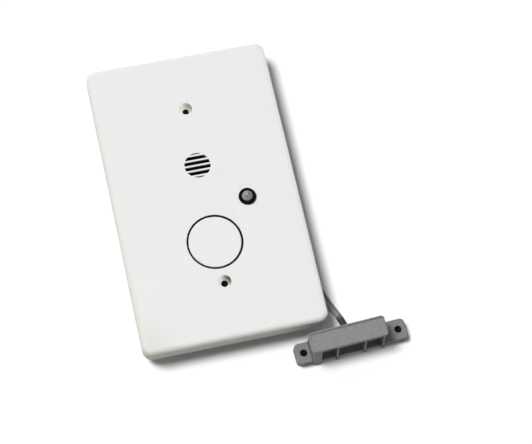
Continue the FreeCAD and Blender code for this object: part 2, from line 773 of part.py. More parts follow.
def make_chip():
    body = block("chip_body", joined(CHIP_X, centred("chip_length")), joined("chip_y", centred("chip_width")),
                 joined(BOARD_TOP_Z, "chip_leg_height / 3"), "chip_length", "chip_width",
                 less("chip_height", "chip_leg_height / 3"))
    legs = []
    for k in range(7):
        x = joined(CHIP_X, "%d * chip_leg_pitch" % (k - 3), "-1 * chip_leg_width / 2")
        legs.append(block("chip_leg_%d" % k, x, joined("chip_y", centred("chip_width"), "-1 * chip_leg_reach"),
                          BOARD_TOP_Z, "chip_leg_width", joined("chip_width", "2 * chip_leg_reach"),
                          "chip_leg_height"))
    return combined("control_chip", "Fuse", [body] + legs)


def make_capacitor():
    rise = less(less(FACE_IN_Z, "moving_clearance"), BOARD_TOP_Z)
    case = cylinder("capacitor_case", CAPACITOR_X, "capacitor_y", BOARD_TOP_Z, "capacitor_radius", rise)
    groove = cylinder("capacitor_groove", CAPACITOR_X, "capacitor_y",
                      joined(BOARD_TOP_Z, "( " + rise + " ) * 0.75"), "capacitor_radius", "capacitor_groove")
    neck = cylinder("capacitor_neck", CAPACITOR_X, "capacitor_y",
                    joined(BOARD_TOP_Z, "( " + rise + " ) * 0.75"),
                    less("capacitor_radius", "capacitor_groove / 2"), "capacitor_groove")
    return combined("capacitor", "Fuse", [cut("capacitor_cut", case, groove), neck])


def make_transistor():
    can = cylinder("transistor_can", TRANSISTOR_X, "transistor_y", BOARD_TOP_Z, "transistor_radius",
                   "transistor_height")
    flat = block("transistor_flat", joined(TRANSISTOR_X, "-1 * transistor_radius"),
                 joined("transistor_y", "transistor_radius / 2"), BOARD_TOP_Z, "2 * transistor_radius",
                 "transistor_radius", "transistor_height")
    return cut("transistor", can, flat)


def make_resistors():
    """Axial resistors in a row, each on its two bent wires."""
    floor = size("tub_floor") + size("board_gap") + size("board_thick")
    rise = floor + 2 * size("resistor_radius")
    half = size("resistor_span") / 2
    solids = []
    for k in range(3):
        x = size("resistor_x")
        y = size("resistor_y") + k * size("resistor_pitch")
        points = [Vector(x - half, y, floor), Vector(x - half, y, rise),
                  Vector(x + half, y, rise), Vector(x + half, y, floor)]
        wire = bent_wire(points, size("resistor_radius"), size("wire_radius"))
        low = Vector(x - size("resistor_length") / 2, y, rise)
        can = Part.makeCylinder(size("resistor_radius"), size("resistor_length"), low, Vector(1, 0, 0))
        solids.append(can.fuse(wire).removeSplitter())
    return fixed_shape("resistors", Part.Compound(solids))


# Push button and its switch


def polar_copies(body, name, features, count):
    """Copies of features about the body's own Z axis."""
    pattern = body.newObject("PartDesign::PolarPattern", name)
    pattern.Originals = features
    axis = [item for item in body.Origin.OriginFeatures if item.Role == "Z_Axis"][0]
    pattern.Axis = (axis, [""])
    pattern.Angle = 360
    pattern.Occurrences = count
    body.Tip = pattern
    doc.recompute()
    return pattern


def make_button_cap():
    """A cupped cap with a stem, ribs, four guides and four snap hooks, about its own axis."""
    body = new_body("button_cap")
    body.setExpression("Placement.Base.x", cell("button_x"))
    body.setExpression("Placement.Base.y", cell(BUTTON_Y))
    face_z = size("rear_stand") + size("plate_depth")
    cap = pad(body, "cap", CAP_SKIRT_Z, less(FACE_Z, CAP_SKIRT_Z),
              lambda drawing: disc(drawing, "0", "0", CAP_RADIUS))
    round_edges(body, "cap_edge", cap, lambda edge: lies_at(edge, face_z), "button_round")
    pocket(body, "cap_hollow", CAP_SKIRT_Z, less(CAP_IN_Z, CAP_SKIRT_Z),
           lambda drawing: disc(drawing, "0", "0", CAP_BORE))
    pad(body, "stem", STEM_Z, less(CAP_IN_Z, STEM_Z), lambda drawing: disc(drawing, "0", "0", "stem_radius"))
    span = "2 * ( " + CAP_BORE + " )"
    pad(body, "cap_rib_across", less(CAP_IN_Z, "button_rib_depth"), "button_rib_depth",
        lambda drawing: centred_rectangle(drawing, span, "rib_thick"))
    pad(body, "cap_rib_along", less(CAP_IN_Z, "button_rib_depth"), "button_rib_depth",
        lambda drawing: centred_rectangle(drawing, "rib_thick", span))
    guide_in = less(CAP_RADIUS, "button_gap / 2")
    guide_out = less("button_hole_radius", "moving_clearance")
    guide = pad(body, "guide", CAP_SKIRT_Z, less(FACE_Z, "guide_drop", CAP_SKIRT_Z),
                lambda drawing: rectangle(drawing, guide_in, centred("guide_width"),
                                          less(guide_out, guide_in), "guide_width"))
    polar_copies(body, "guides", [guide], 4)
    arm_out = less(CAP_RADIUS, "moving_clearance")
    arm = turned_pad(body, "hook_arm", HOOK_BOTTOM_Z, less(joined(CAP_SKIRT_Z, "hook_thick"), HOOK_BOTTOM_Z),
                     CAP_BORE, arm_out)
    catch = turned_pad(body, "hook_catch", HOOK_BOTTOM_Z, "hook_thick", CAP_BORE,
                       joined("button_hole_radius", "hook_reach"))
    polar_copies(body, "hooks", [arm, catch], 4)
    return body


def turned_pad(body, name, height, length, inner, outer):
    """A pad between two radii on the diagonal of the cap, as wide as a hook."""
    drawing = new_sketch(body, name + "_sketch", height)
    drawing.AttachmentOffset = FreeCAD.Placement(Vector(0, 0, 0), FreeCAD.Rotation(Z_AXIS, 45))
    drawing.setExpression("AttachmentOffset.Base.z", cell(height))
    rectangle(drawing, inner, centred("hook_width"), less(outer, inner), "hook_width")
    return add_feature(body, "Pad", name, drawing, length)


def make_switch_case():
    body = new_body("switch_case")
    body.setExpression("Placement.Base.x", cell("button_x"))
    body.setExpression("Placement.Base.y", cell(BUTTON_Y))
    case = pad(body, "case", BOARD_TOP_Z, "switch_height",
               lambda drawing: centred_rectangle(drawing, "switch_side", "switch_side"))
    round_edges(body, "case_corners", case, is_upright, "switch_side / 16")
    pad(body, "pins", BOARD_TOP_Z, "switch_floor",
        lambda drawing: [centred_rectangle(drawing, "switch_side + 2 * switch_pin_reach", "switch_pin_width",
                                           "0", side + " * switch_side / 5") for side in ("-1", "1")])
    bore_z = joined(BOARD_TOP_Z, "switch_floor")
    pocket(body, "bore", bore_z, less(SWITCH_TOP_Z, bore_z),
           lambda drawing: disc(drawing, "0", "0", joined("plunger_radius", "plunger_clearance")))
    return body


# Light, bezel and sounder

LIGHT_TOP_Z = joined(FACE_Z, "light_stand")
LIGHT_LOW_Z = less(LIGHT_TOP_Z, "light_length")
LIGHT_SEAT_Z = joined(LIGHT_LOW_Z, "light_flange_thick")


def make_light():
    flange = cylinder("light_flange", LIGHT_X, "light_y", LIGHT_LOW_Z, "light_flange_radius",
                      "light_flange_thick")
    stem_length = less("light_length", "light_radius")
    barrel = cylinder("light_barrel", LIGHT_X, "light_y", LIGHT_LOW_Z, "light_radius", stem_length)
    dome = doc.addObject("Part::Sphere", "light_dome")
    dome.setExpression("Radius", cell("light_radius"))
    for key, value in (("x", LIGHT_X), ("y", "light_y"), ("z", less(LIGHT_TOP_Z, "light_radius"))):
        dome.setExpression("Placement.Base." + key, cell(value))
    return combined("light_lens", "Fuse", [flange, barrel, dome])


def make_light_leads():
    low_z = less(BOARD_Z, "lead_tail")
    leads = []
    for k, side in enumerate(("-1", "1")):
        x = joined(LIGHT_X, side + " * light_lead_pitch / 2", centred("light_lead_side"))
        leads.append(block("light_lead_%d" % k, x, joined("light_y", centred("light_lead_side")), low_z,
                           "light_lead_side", "light_lead_side", less(LIGHT_LOW_Z, low_z)))
    return combined("light_leads", "Compound", leads)


def make_light_bezel():
    body = new_body("light_bezel")
    pad(body, "shank", LIGHT_SEAT_Z, less(FACE_Z, LIGHT_SEAT_Z),
        lambda drawing: disc(drawing, LIGHT_X, "light_y", "bezel_shank_radius"))
    flange = pad(body, "flange", FACE_Z, "bezel_height",
                 lambda drawing: disc(drawing, LIGHT_X, "light_y", "bezel_radius"))
    top = size("rear_stand") + size("plate_depth") + size("bezel_height")
    round_edges(body, "flange_edge", flange, lambda edge: lies_at(edge, top), "bezel_round")
    pocket(body, "light_bore", LIGHT_SEAT_Z, less(joined(FACE_Z, "bezel_height"), LIGHT_SEAT_Z),
           lambda drawing: disc(drawing, LIGHT_X, "light_y",
                                joined("light_radius", "bezel_bore_clearance")))
    return body


def make_ring(label, x, y, low, outer, inner, thick):
    """A flat ring between two radii."""
    body = new_body(label)
    pad(body, label + "_disc", low, thick, lambda drawing: disc(drawing, x, y, outer))
    pocket(body, label + "_hole", low, thick, lambda drawing: disc(drawing, x, y, inner))
    return body


def make_sounder():
    body = new_body("sounder_case")
    top_z = less(FACE_IN_Z, "gasket_thick")
    top = size("rear_stand") + size("plate_depth") - size("face_thick") - size("gasket_thick")
    can = pad(body, "can", BOARD_TOP_Z, less(top_z, BOARD_TOP_Z),
              lambda drawing: disc(drawing, "grille_x", GRILLE_Y, "sounder_radius"))
    round_edges(body, "can_edge", can, lambda edge: lies_at(edge, top), "gasket_thick")
    pocket(body, "sound_hole", less(top_z, "sound_hole_depth"), "sound_hole_depth",
           lambda drawing: disc(drawing, "grille_x", GRILLE_Y, "sound_hole_radius"))
    return body


# Battery and its contacts


def make_battery():
    can = cylinder("battery_can", BATTERY_LOW_X, BATTERY_Y, BATTERY_Z, "battery_radius",
                   less("battery_length", "battery_nub_length"), "x")
    nub = cylinder("battery_nub", BATTERY_LOW_X, BATTERY_Y, BATTERY_Z, "battery_nub_radius",
                   "battery_length", "x")
    return combined("battery", "Fuse", [can, nub])


def make_contact_plate(label, left):
    return block(label, left, joined(BATTERY_Y, centred("contact_side")),
                 joined(BATTERY_Z, centred("contact_side")), "contact_thick", "contact_side", "contact_side")


def make_battery_spring():
    """A coil spring along X between its plate and the battery's flat end."""
    half_bay = value_of(BAY_HALF)
    wire = size("spring_wire_radius")
    height = size("spring_length") - 2 * wire
    coil = Part.makeHelix(height / size("spring_turns"), height, size("spring_radius"))
    start = Vector(size("spring_radius"), 0, 0)
    section = Part.Wire([Part.makeCircle(wire, start, Vector(0, 1, 0))])
    solid = Part.Wire(coil.Edges).makePipeShell([section], True, True)
    turn = FreeCAD.Rotation(Vector(0, 1, 0), 90)
    place = Vector(-half_bay + size("contact_thick") + wire, value_of(BATTERY_Y), value_of(BATTERY_Z))
    return fixed_shape("battery_spring", solid, FreeCAD.Placement(place, turn))


# Lead, gland and inner conductors


def lead_points():
    """The lead's route: out of the gland, round under the plate, and along the floor to the contact."""
    gland_x = size("tub_width") / 2 + size("gland_flange_thick")
    gland_y = value_of(GLAND_Y)
    edge_x = size("plate_width") / 2
    edge_y = -size("plate_height") / 2
    turn = math.radians(size("contact_turn"))
    along = Vector(math.cos(turn), math.sin(turn), 0)
    rearward = Vector(-math.sin(turn), math.cos(turn), 0)
    centre = contact_placement().Base + Z_AXIS * size("bush_z")
    bush_reach = size("case_width") / 2 + size("bush_stand")
    entry = centre + along * size("bush_x") + rearward * bush_reach
    return [
        Vector(gland_x, gland_y, size("gland_z")),
        Vector(gland_x + 5.4, gland_y, size("gland_z")),
        Vector(gland_x + 9.8, gland_y - 3.4, 1.8),
        Vector(gland_x + 12.5, gland_y - 9.5, 1.0),
        Vector(edge_x - 0.6, edge_y + 22.8, 0.75),
        Vector(edge_x + 2.7, edge_y + 11.8, 0.75),
        entry + rearward * 3.6,
        entry,
    ]


def cord_bends(points):
    """The largest bend that the two runs at each point allow."""
    bends = []
    for before, corner, after in zip(points, points[1:], points[2:]):
        incoming, outgoing = corner - before, after - corner
        shorter = min(incoming.Length, outgoing.Length)
        bends.append(0.45 * shorter / math.tan(incoming.getAngle(outgoing) / 2))
    return bends


def make_lead():
    """The twin lead as a flat strip with round edges, swept with its width level."""
    points = lead_points()
    bends = cord_bends(points)
    print("lead bend radii, mm:", [round(bend, 1) for bend in bends])
    path = tangent_path(points, bends)
    flat = (size("lead_width") - size("lead_thick")) / 2
    half = size("lead_thick") / 2
    ends = [Vector(-flat, -half, 0), Vector(flat, -half, 0), Vector(flat + half, 0, 0),
            Vector(flat, half, 0), Vector(-flat, half, 0), Vector(-flat - half, 0, 0)]
    outline = Part.Wire([
        Part.LineSegment(ends[0], ends[1]).toShape(),
        Part.Arc(ends[1], ends[2], ends[3]).toShape(),
        Part.LineSegment(ends[3], ends[4]).toShape(),
        Part.Arc(ends[4], ends[5], ends[0]).toShape(),
    ])
    heading = (points[1] - points[0]).normalize()
    across = heading.cross(Z_AXIS).normalize()
    upwards = across.cross(heading)
    frame = FreeCAD.Matrix(across.x, upwards.x, heading.x, points[0].x,
                           across.y, upwards.y, heading.y, points[0].y,
                           across.z, upwards.z, heading.z, points[0].z,
                           0, 0, 0, 1)
    outline.Placement = FreeCAD.Placement(frame)
    sweep = Part.BRepOffsetAPI.MakePipeShell(path)
    sweep.setBiNormalMode(Z_AXIS)
    sweep.add(outline)
    sweep.build()
    sweep.makeSolid()
    solid = Part.Solid(sweep.shape())
    expected = Part.Face(outline).Area * path.Length
    print("lead length %.1f mm, volume %.1f of %.1f mm3" % (path.Length, solid.Volume, expected))
    return fixed_shape("lead", solid)


def make_gland():
    body = new_body("lead_gland")
    plug = new_sketch(body, "plug_sketch", TUB_IN_X, "YZ_Plane")
    centred_rectangle(plug, "gland_width", "gland_height", GLAND_Y, "gland_z")
    add_feature(body, "Pad", "plug", plug, "tub_wall")
    flange = new_sketch(body, "flange_sketch", "tub_width / 2", "YZ_Plane")
    centred_rectangle(flange, "gland_width + 2 * gland_flange", "gland_height + 2 * gland_flange",
                      GLAND_Y, "gland_z")
    flange_pad = add_feature(body, "Pad", "gland_flange", flange, "gland_flange_thick")
    outer_x = size("tub_width") / 2 + size("gland_flange_thick")
    round_edges(body, "flange_edges", flange_pad,
                lambda edge: abs(edge.BoundBox.XMin - outer_x) < 1e-4, "gland_flange / 2")
    return body


def make_board_leads():
    """The lead's two conductors inside the housing, bent up to the board's underside."""
    inner_x = size("tub_width") / 2 - size("tub_wall")
    board_z = size("tub_floor") + size("board_gap")
    run_z = size("tub_floor") + size("board_gap") / 2
    solids = []
    for side in (-1, 1):
        y = value_of(GLAND_Y) + side * size("core_spacing") / 2
        x = inner_x - size("core_reach")
        points = [Vector(inner_x, y, run_z), Vector(x, y, run_z), Vector(x, y, board_z)]
        solids.append(bent_wire(points, size("core_bend"), size("core_radius")))
    return fixed_shape("board_leads", Part.Compound(solids))


# Magnetic contact, drawn about the middle of its case and then laid beside the plate

EAR_LEFT_X = less("ear_offset", "ear_hole_spacing / 2")
EAR_RIGHT_X = joined("ear_offset", "ear_hole_spacing / 2")
CASE_FRONT_Y = "-1 * case_width / 2"
WALL_FRONT_Y = joined(CASE_FRONT_Y, "front_draft")
WALL_REAR_Y = less("case_width / 2", "case_draft")
BAY_BACK_Y = joined(WALL_FRONT_Y, "bay_depth")
CAVITY_LOW_Y = joined(BAY_BACK_Y, "case_wall")
CAVITY_HIGH_Y = less(WALL_REAR_Y, "case_wall")
REED_Y = "( " + joined(CAVITY_LOW_Y, CAVITY_HIGH_Y) + " ) / 2"
WALL_TOP_Z = less("case_height", "lid_thick")
BAY_ENDS = (
    ("bay_shift - case_length / 2 + bay_block", "bay_shift - case_rib_x - case_rib_thick / 2"),
    ("bay_shift - case_rib_x + case_rib_thick / 2", "bay_shift + case_rib_x - case_rib_thick / 2"),
    ("bay_shift + case_rib_x + case_rib_thick / 2", "case_length / 2 - bay_end"),
)


def contact_placement():
    """Where the contact lies, beside and below the plate's corner."""
    turn = FreeCAD.Rotation(Z_AXIS, size("contact_turn"))
    return FreeCAD.Placement(Vector(value_of(CONTACT_X), value_of(CONTACT_Y), 0), turn)


def lay_contact(item):
    """Ties a contact piece's place to the sheet."""
    item.Placement = contact_placement()
    item.setExpression("Placement.Base.x", cell(CONTACT_X))
    item.setExpression("Placement.Base.y", cell(CONTACT_Y))
    return item


def draw_bays(drawing, depth_end):
    """The three bays seen from above, from ahead of the foot back to a depth."""
    low = less(CASE_FRONT_Y, "case_wall")
    for left, right in BAY_ENDS:
        rectangle(drawing, left, low, less(right, left), less(depth_end, low))


def make_contact_base():
    body = new_body("contact_base")
    case_end = size("case_length") / 2
    foot = pad(body, "foot", "0", "case_base",
               lambda drawing: centred_rectangle(drawing, "case_length", "case_width"))
    round_edges(body, "foot_corners", foot, is_upright, "case_corner")
    left_end = less(EAR_LEFT_X, "ear_end")
    right_end = joined(EAR_RIGHT_X, "ear_end")
    ear_low_y = joined("ear_shift", centred("ear_width"))
    ears = pad(body, "ears", "0", "ear_thick", lambda drawing: [
        rectangle(drawing, left_end, ear_low_y, less("-1 * case_length / 2", left_end), "ear_width"),
        rectangle(drawing, "case_length / 2", ear_low_y, less(right_end, "case_length / 2"), "ear_width")])
    ears = round_edges(body, "ear_corners", ears,
                       lambda edge: is_upright(edge) and abs(edge.CenterOfMass.x) > case_end + 0.1,
                       "ear_corner")
    round_edges(body, "ear_edges", ears, lambda edge: lies_at(edge, size("ear_thick")), "lid_round")
    pad(body, "ear_roots", "0", "case_base", lambda drawing: centred_rectangle(
        drawing, "case_length + 2 * case_base", less("ear_width", "case_base"), "0", "ear_shift"))
    pocket(body, "ear_holes", "0", "ear_thick",
           lambda drawing: [disc(drawing, x, "ear_shift", "ear_hole_radius") for x in (EAR_LEFT_X, EAR_RIGHT_X)])
    pocket(body, "foot_notches", "0", "case_base",
           lambda drawing: draw_bays(drawing, joined(CASE_FRONT_Y, "bay_notch")))
    pad(body, "cradles", "case_base", less("reed_z", "case_base"), lambda drawing: [
        centred_rectangle(drawing, "cradle_thick", "2 * reed_radius - 4 * reed_seat",
                          side + " * cradle_x", REED_Y) for side in ("-1", "1")])
    seat = new_sketch(body, "reed_seat_sketch", "-1 * reed_length", "YZ_Plane")
    disc(seat, REED_Y, "reed_z", "reed_radius + reed_seat")
    add_feature(body, "Pocket", "reed_seat_cut", seat, "2 * reed_length", reversed_way=True)
    bush_low_z = joined("bush_z", centred("bush_height"))
    pocket(body, "bush_notch", bush_low_z, less("case_base", bush_low_z),
           lambda drawing: rectangle(drawing, joined("bush_x", centred("bush_width")), CAVITY_HIGH_Y,
                                     "bush_width", less("case_width", CAVITY_HIGH_Y)))
    return lay_contact(body)


def lean(body, name, base, wanted, inset):
    """Drafts the walls whose normals pass a test, by an inset over the wall's height, about their foot."""
    normals = [face.normalAt(0, 0) for face in base.Shape.Faces]
    walls = ["Face%d" % (k + 1) for k, normal in enumerate(normals) if wanted(normal)]
    foot = ["Face%d" % (k + 1) for k, normal in enumerate(normals) if normal.z < -0.5]
    drafted = body.newObject("PartDesign::Draft", name)
    drafted.Base = (base, walls)
    drafted.NeutralPlane = (base, foot)
    drafted.setExpression("Angle", cell("atan( " + inset + " / ( case_height - lid_thick - case_base ) )"))
    doc.recompute()
    if drafted.Shape.Volume >= base.Shape.Volume:
        raise RuntimeError("the walls lean outwards")
    return drafted


def make_contact_cover():
    """The drafted case with its lid, three front bays and the hollow for the reed."""
    body = new_body("contact_cover")
    walls = pad(body, "walls", "case_base", less(WALL_TOP_Z, "case_base"),
                lambda drawing: centred_rectangle(drawing, "case_length", "case_width"))
    sides = lean(body, "wall_draft", walls, lambda normal: abs(normal.z) < 0.1 and normal.y > -0.9, "case_draft")
    front = lean(body, "front_draft", sides, lambda normal: normal.y < -0.9, "front_draft")
    round_edges(body, "wall_corners", front, is_upright, less("case_corner", "lid_overhang"))
    lid_top = size("case_height")
    lid_low_y = less(WALL_FRONT_Y, "lid_overhang")
    lid_length = "case_length - 2 * case_draft + 2 * lid_end_overhang"
    lid_width = less(joined(WALL_REAR_Y, "lid_overhang"), lid_low_y)
    lid = pad(body, "lid", WALL_TOP_Z, "lid_thick",
              lambda drawing: rectangle(drawing, centred(lid_length), lid_low_y, lid_length, lid_width))
    wall_top = lid_top - size("lid_thick")
    lid = round_edges(body, "lid_corners", lid,
                      lambda edge: is_upright(edge) and edge.CenterOfMass.z > wall_top, "lid_corner")
    round_edges(body, "lid_edge", lid, lambda edge: lies_at(edge, lid_top), "lid_round")
    panel = pocket(body, "lid_panel", less("case_height", "panel_depth"), "panel_depth",
                   lambda drawing: rectangle(drawing, joined(centred(lid_length), "panel_edge"),
                                             joined(lid_low_y, "panel_edge"), less(lid_length, "2 * panel_edge"),
                                             less(lid_width, "2 * panel_edge")))
    panel_floor = lid_top - size("panel_depth")
    round_edges(body, "panel_corners", panel,
                lambda edge: is_upright(edge) and abs(edge.CenterOfMass.z - (panel_floor + lid_top) / 2) < 1e-4
                and abs(edge.Length - size("panel_depth")) < 1e-4, less("lid_corner", "panel_edge"))
    wall_height = less(WALL_TOP_Z, "case_base")
    pocket(body, "front_bays", "case_base", wall_height, lambda drawing: draw_bays(drawing, BAY_BACK_Y))
    cavity_length = "case_length - 2 * case_draft - 2 * case_wall"
    pocket(body, "cavity", "case_base", wall_height, lambda drawing: rectangle(
        drawing, centred(cavity_length), CAVITY_LOW_Y, cavity_length, less(CAVITY_HIGH_Y, CAVITY_LOW_Y)))
    pocket(body, "bush_notch", "case_base", less(joined("bush_z", "bush_height / 2"), "case_base"),
           lambda drawing: rectangle(drawing, joined("bush_x", centred("bush_width")), CAVITY_HIGH_Y,
                                     "bush_width", less("case_width", CAVITY_HIGH_Y)))
    return lay_contact(body)


def make_contact_bush():
    body = new_body("contact_bush")
    block_pad = pad(body, "bush", joined("bush_z", centred("bush_height")), "bush_height",
                    lambda drawing: rectangle(drawing, joined("bush_x", centred("bush_width")), CAVITY_HIGH_Y,
                                              "bush_width",
                                              less("case_width / 2 + bush_stand", CAVITY_HIGH_Y)))
    outer_y = size("case_width") / 2 + size("bush_stand")
    round_edges(body, "bush_edges", block_pad, lambda edge: abs(edge.BoundBox.YMin - outer_y) < 1e-4,
                "bush_stand / 2")
    return lay_contact(body)


def make_reed():
    """A sealed glass capsule: a tube with round ends."""
    reed_y = value_of(REED_Y)
    radius = size("reed_radius")
    length = size("reed_length") - 2 * radius
    low = Vector(-length / 2, reed_y, size("reed_z"))
    tube = Part.makeCylinder(radius, length, low, Vector(1, 0, 0))
    ends = [Part.makeSphere(radius, Vector(side * length / 2, reed_y, size("reed_z"))) for side in (-1, 1)]
    return fixed_shape("reed_capsule", tube.fuse(ends).removeSplitter(), contact_placement())


def make_reed_leads():
    reed_y = value_of(REED_Y)
    terminal_top = size("case_base") + size("terminal_height")
    solids = []
    for side in (-1, 1):
        points = [Vector(side * size("reed_length") / 2, reed_y, size("reed_z")),
                  Vector(side * size("terminal_x"), reed_y, size("reed_z")),
                  Vector(side * size("terminal_x"), reed_y, terminal_top)]
        solids.append(bent_wire(points, size("wire_bend"), size("wire_radius")))
    return fixed_shape("reed_leads", Part.Compound(solids), contact_placement())


def make_terminals():
    reed_y = value_of(REED_Y)
    high_y = value_of(CAVITY_HIGH_Y)
    side = size("terminal_side")
    depth = 2 * (high_y - size("terminal_gap") - reed_y)
    solids = []
    for way in (-1, 1):
        low = Vector(way * size("terminal_x") - side / 2, reed_y - depth / 2, size("case_base"))
        solids.append(Part.makeBox(side, depth, size("terminal_height"), low))
    return fixed_shape("contact_terminals", Part.Compound(solids), contact_placement())


def make_contact_wires():
    """From the bush to the two terminals, behind the reed's cradles."""
    high_y = value_of(CAVITY_HIGH_Y)
    run_y = high_y - size("terminal_gap") - size("wire_radius")
    wire_z = size("case_base") + size("terminal_height") / 2
    solids = []
    for side in (-1, 1):
        start_x = size("bush_x") + side * size("core_spacing") / 2
        end_x = side * (size("terminal_x") - size("terminal_side") / 2)
        points = [Vector(start_x, high_y, wire_z), Vector(start_x, run_y, wire_z), Vector(end_x, run_y, wire_z)]
        solids.append(bent_wire(points, 0.8 * (high_y - run_y), size("wire_radius")))
    return fixed_shape("contact_wires", Part.Compound(solids), contact_placement())


SUB_PARTS = [
    make_front_cover(),
    make_rear_housing(),
    make_battery_door(),
    make_door_screws(),
    make_housing_screws(),
    make_circuit_board(),
    make_chip(),
    make_capacitor(),
    make_transistor(),
    make_resistors(),
    make_button_cap(),
    cylinder("switch_plunger", "button_x", BUTTON_Y, less(STEM_Z, "plunger_length"), "plunger_radius",
             "plunger_length"),
    make_ring("button_seal", "button_x", BUTTON_Y, less(FACE_Z, "seal_drop", "seal_thick"),
              less("button_hole_radius", "pilot_clearance"), joined(CAP_RADIUS, "seal_clearance"), "seal_thick"),
    make_switch_case(),
    make_light(),
    make_light_leads(),
    make_light_bezel(),
    make_ring("bezel_ring", LIGHT_X, "light_y", less(FACE_IN_Z, "ring_thick"), "ring_radius",
              "bezel_shank_radius + pilot_clearance", "ring_thick"),
    make_sounder(),
    make_ring("sounder_gasket", "grille_x", GRILLE_Y, less(FACE_IN_Z, "gasket_thick"), "sounder_radius",
              "sounder_radius - gasket_width", "gasket_thick"),
    make_battery(),
    make_contact_plate("battery_plate", less(BAY_HALF, "contact_thick")),
    make_contact_plate("spring_plate", "-1 * ( " + BAY_HALF + " )"),
    make_battery_spring(),
    make_gland(),
    make_lead(),
    make_board_leads(),
    make_contact_base(),
    make_contact_cover(),
    make_contact_bush(),
    make_reed(),
    make_reed_leads(),
    make_terminals(),
    make_contact_wires(),
]


def check_and_write():
    """Stops if any object failed, then writes each sub-part to its own file."""
    doc.recompute()
    for item in doc.Objects:
        if "Invalid" in item.State or "Error" in item.State:
            raise RuntimeError("%s failed: %s" % (item.Label, item.State))
    os.makedirs("parts", exist_ok=True)
    for part in SUB_PARTS:
        if part.Shape.isNull() or not part.Shape.isValid():
            raise RuntimeError(part.Label + " has no sound shape")
    for part in SUB_PARTS:
        part.Shape.exportStep("parts/%s.step" % part.Label)
        box = part.Shape.BoundBox
        print("%-22s %2d solid(s) %9.1f mm3  x %6.1f %6.1f  y %6.1f %6.1f  z %6.2f %6.2f" % (
            part.Label, len(part.Shape.Solids), part.Shape.Volume,
            box.XMin, box.XMax, box.YMin, box.YMax, box.ZMin, box.ZMax))


check_and_write()
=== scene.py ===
import math

import bpy
from bpy.props import FloatProperty, FloatVectorProperty, PointerProperty
from mathutils import Matrix, Vector


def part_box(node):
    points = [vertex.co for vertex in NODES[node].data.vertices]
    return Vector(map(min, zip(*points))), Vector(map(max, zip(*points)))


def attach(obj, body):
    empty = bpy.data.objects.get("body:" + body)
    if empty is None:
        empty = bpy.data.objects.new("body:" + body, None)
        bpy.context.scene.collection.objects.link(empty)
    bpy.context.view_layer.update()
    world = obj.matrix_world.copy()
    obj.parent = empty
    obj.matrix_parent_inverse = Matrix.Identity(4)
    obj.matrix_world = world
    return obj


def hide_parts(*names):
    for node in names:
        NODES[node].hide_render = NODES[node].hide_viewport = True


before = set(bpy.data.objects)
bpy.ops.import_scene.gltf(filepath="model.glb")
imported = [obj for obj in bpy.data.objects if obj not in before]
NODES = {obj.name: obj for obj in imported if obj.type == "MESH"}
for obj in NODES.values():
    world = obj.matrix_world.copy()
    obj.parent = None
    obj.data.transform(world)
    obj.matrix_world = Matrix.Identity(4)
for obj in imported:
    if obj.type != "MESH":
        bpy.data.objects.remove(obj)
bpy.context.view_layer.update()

bl_info = {
    "name": "Door Alarm Looks",
    "version": (1, 0, 0),
    "blender": (4, 5, 0),
    "location": "3D View > Sidebar > Door Alarm",
    "description": "Finishes, lead, lights and camera for a wall-plate door alarm with a wired contact",
    "category": "Object",
}

# The lead's route from the rear housing's gland to the bush on the contact, in metres
LEAD_ROUTE = (
    (0.0265, -0.0265, 0.0026),
    (0.0319, -0.0265, 0.0026),
    (0.0363, -0.0299, 0.0018),
    (0.0390, -0.0360, 0.0010),
    (0.0409, -0.0452, 0.00075),
    (0.0442, -0.0562, 0.00075),
    (0.049150, -0.067060, 0.0015),
    (0.049313, -0.070657, 0.0015),
)

# Holes for the wall box's screws, either side of the plate's middle, and for the contact's own
SCREW_HOLE_Y = 0.04167
EAR_HOLES = ((0.028071, -0.077928), (0.071726, -0.075945))

# Radius of the hole in each screw's bush, and the colour of the painted shade on the bush's darker side
SCREW_BUSHES = ((0.00145, (0.34, 0.33, 0.26)), (0.00158, (0.13, 0.12, 0.085)))

# Radius, low end and high end of the black plugs in the plate's and in the contact's screw holes, which stand in for
# the shade deep in the holes
PLATE_SHADE_PLUG = (0.00178, 0.0092, 0.0104)
EAR_SHADE_PLUG = (0.00163, 0.0020, 0.0036)

# The camera's own axes, and how far its frame is moved, as shares of the frame's width
CAMERA_RIGHT = (0.9731816, -0.2203621, 0.0660155)
CAMERA_UPWARDS = (0.1883608, 0.9280841, 0.3212167)
CAMERA_BACK = (-0.1320519, -0.3001675, 0.9447020)
CAMERA_SHIFT = (-0.000658, -0.000094)

# Headings of the two lamps' light
KEY_HEADING = (0.42, -0.255, -1.0)
GLINT_HEADING = (0.12, -0.74, -0.65)

# Sizes and colours that a user would change


def colour(name, description, default):
    return FloatVectorProperty(name=name, description=description, subtype="COLOR", size=3,
                               min=0.0, max=1.0, default=default)


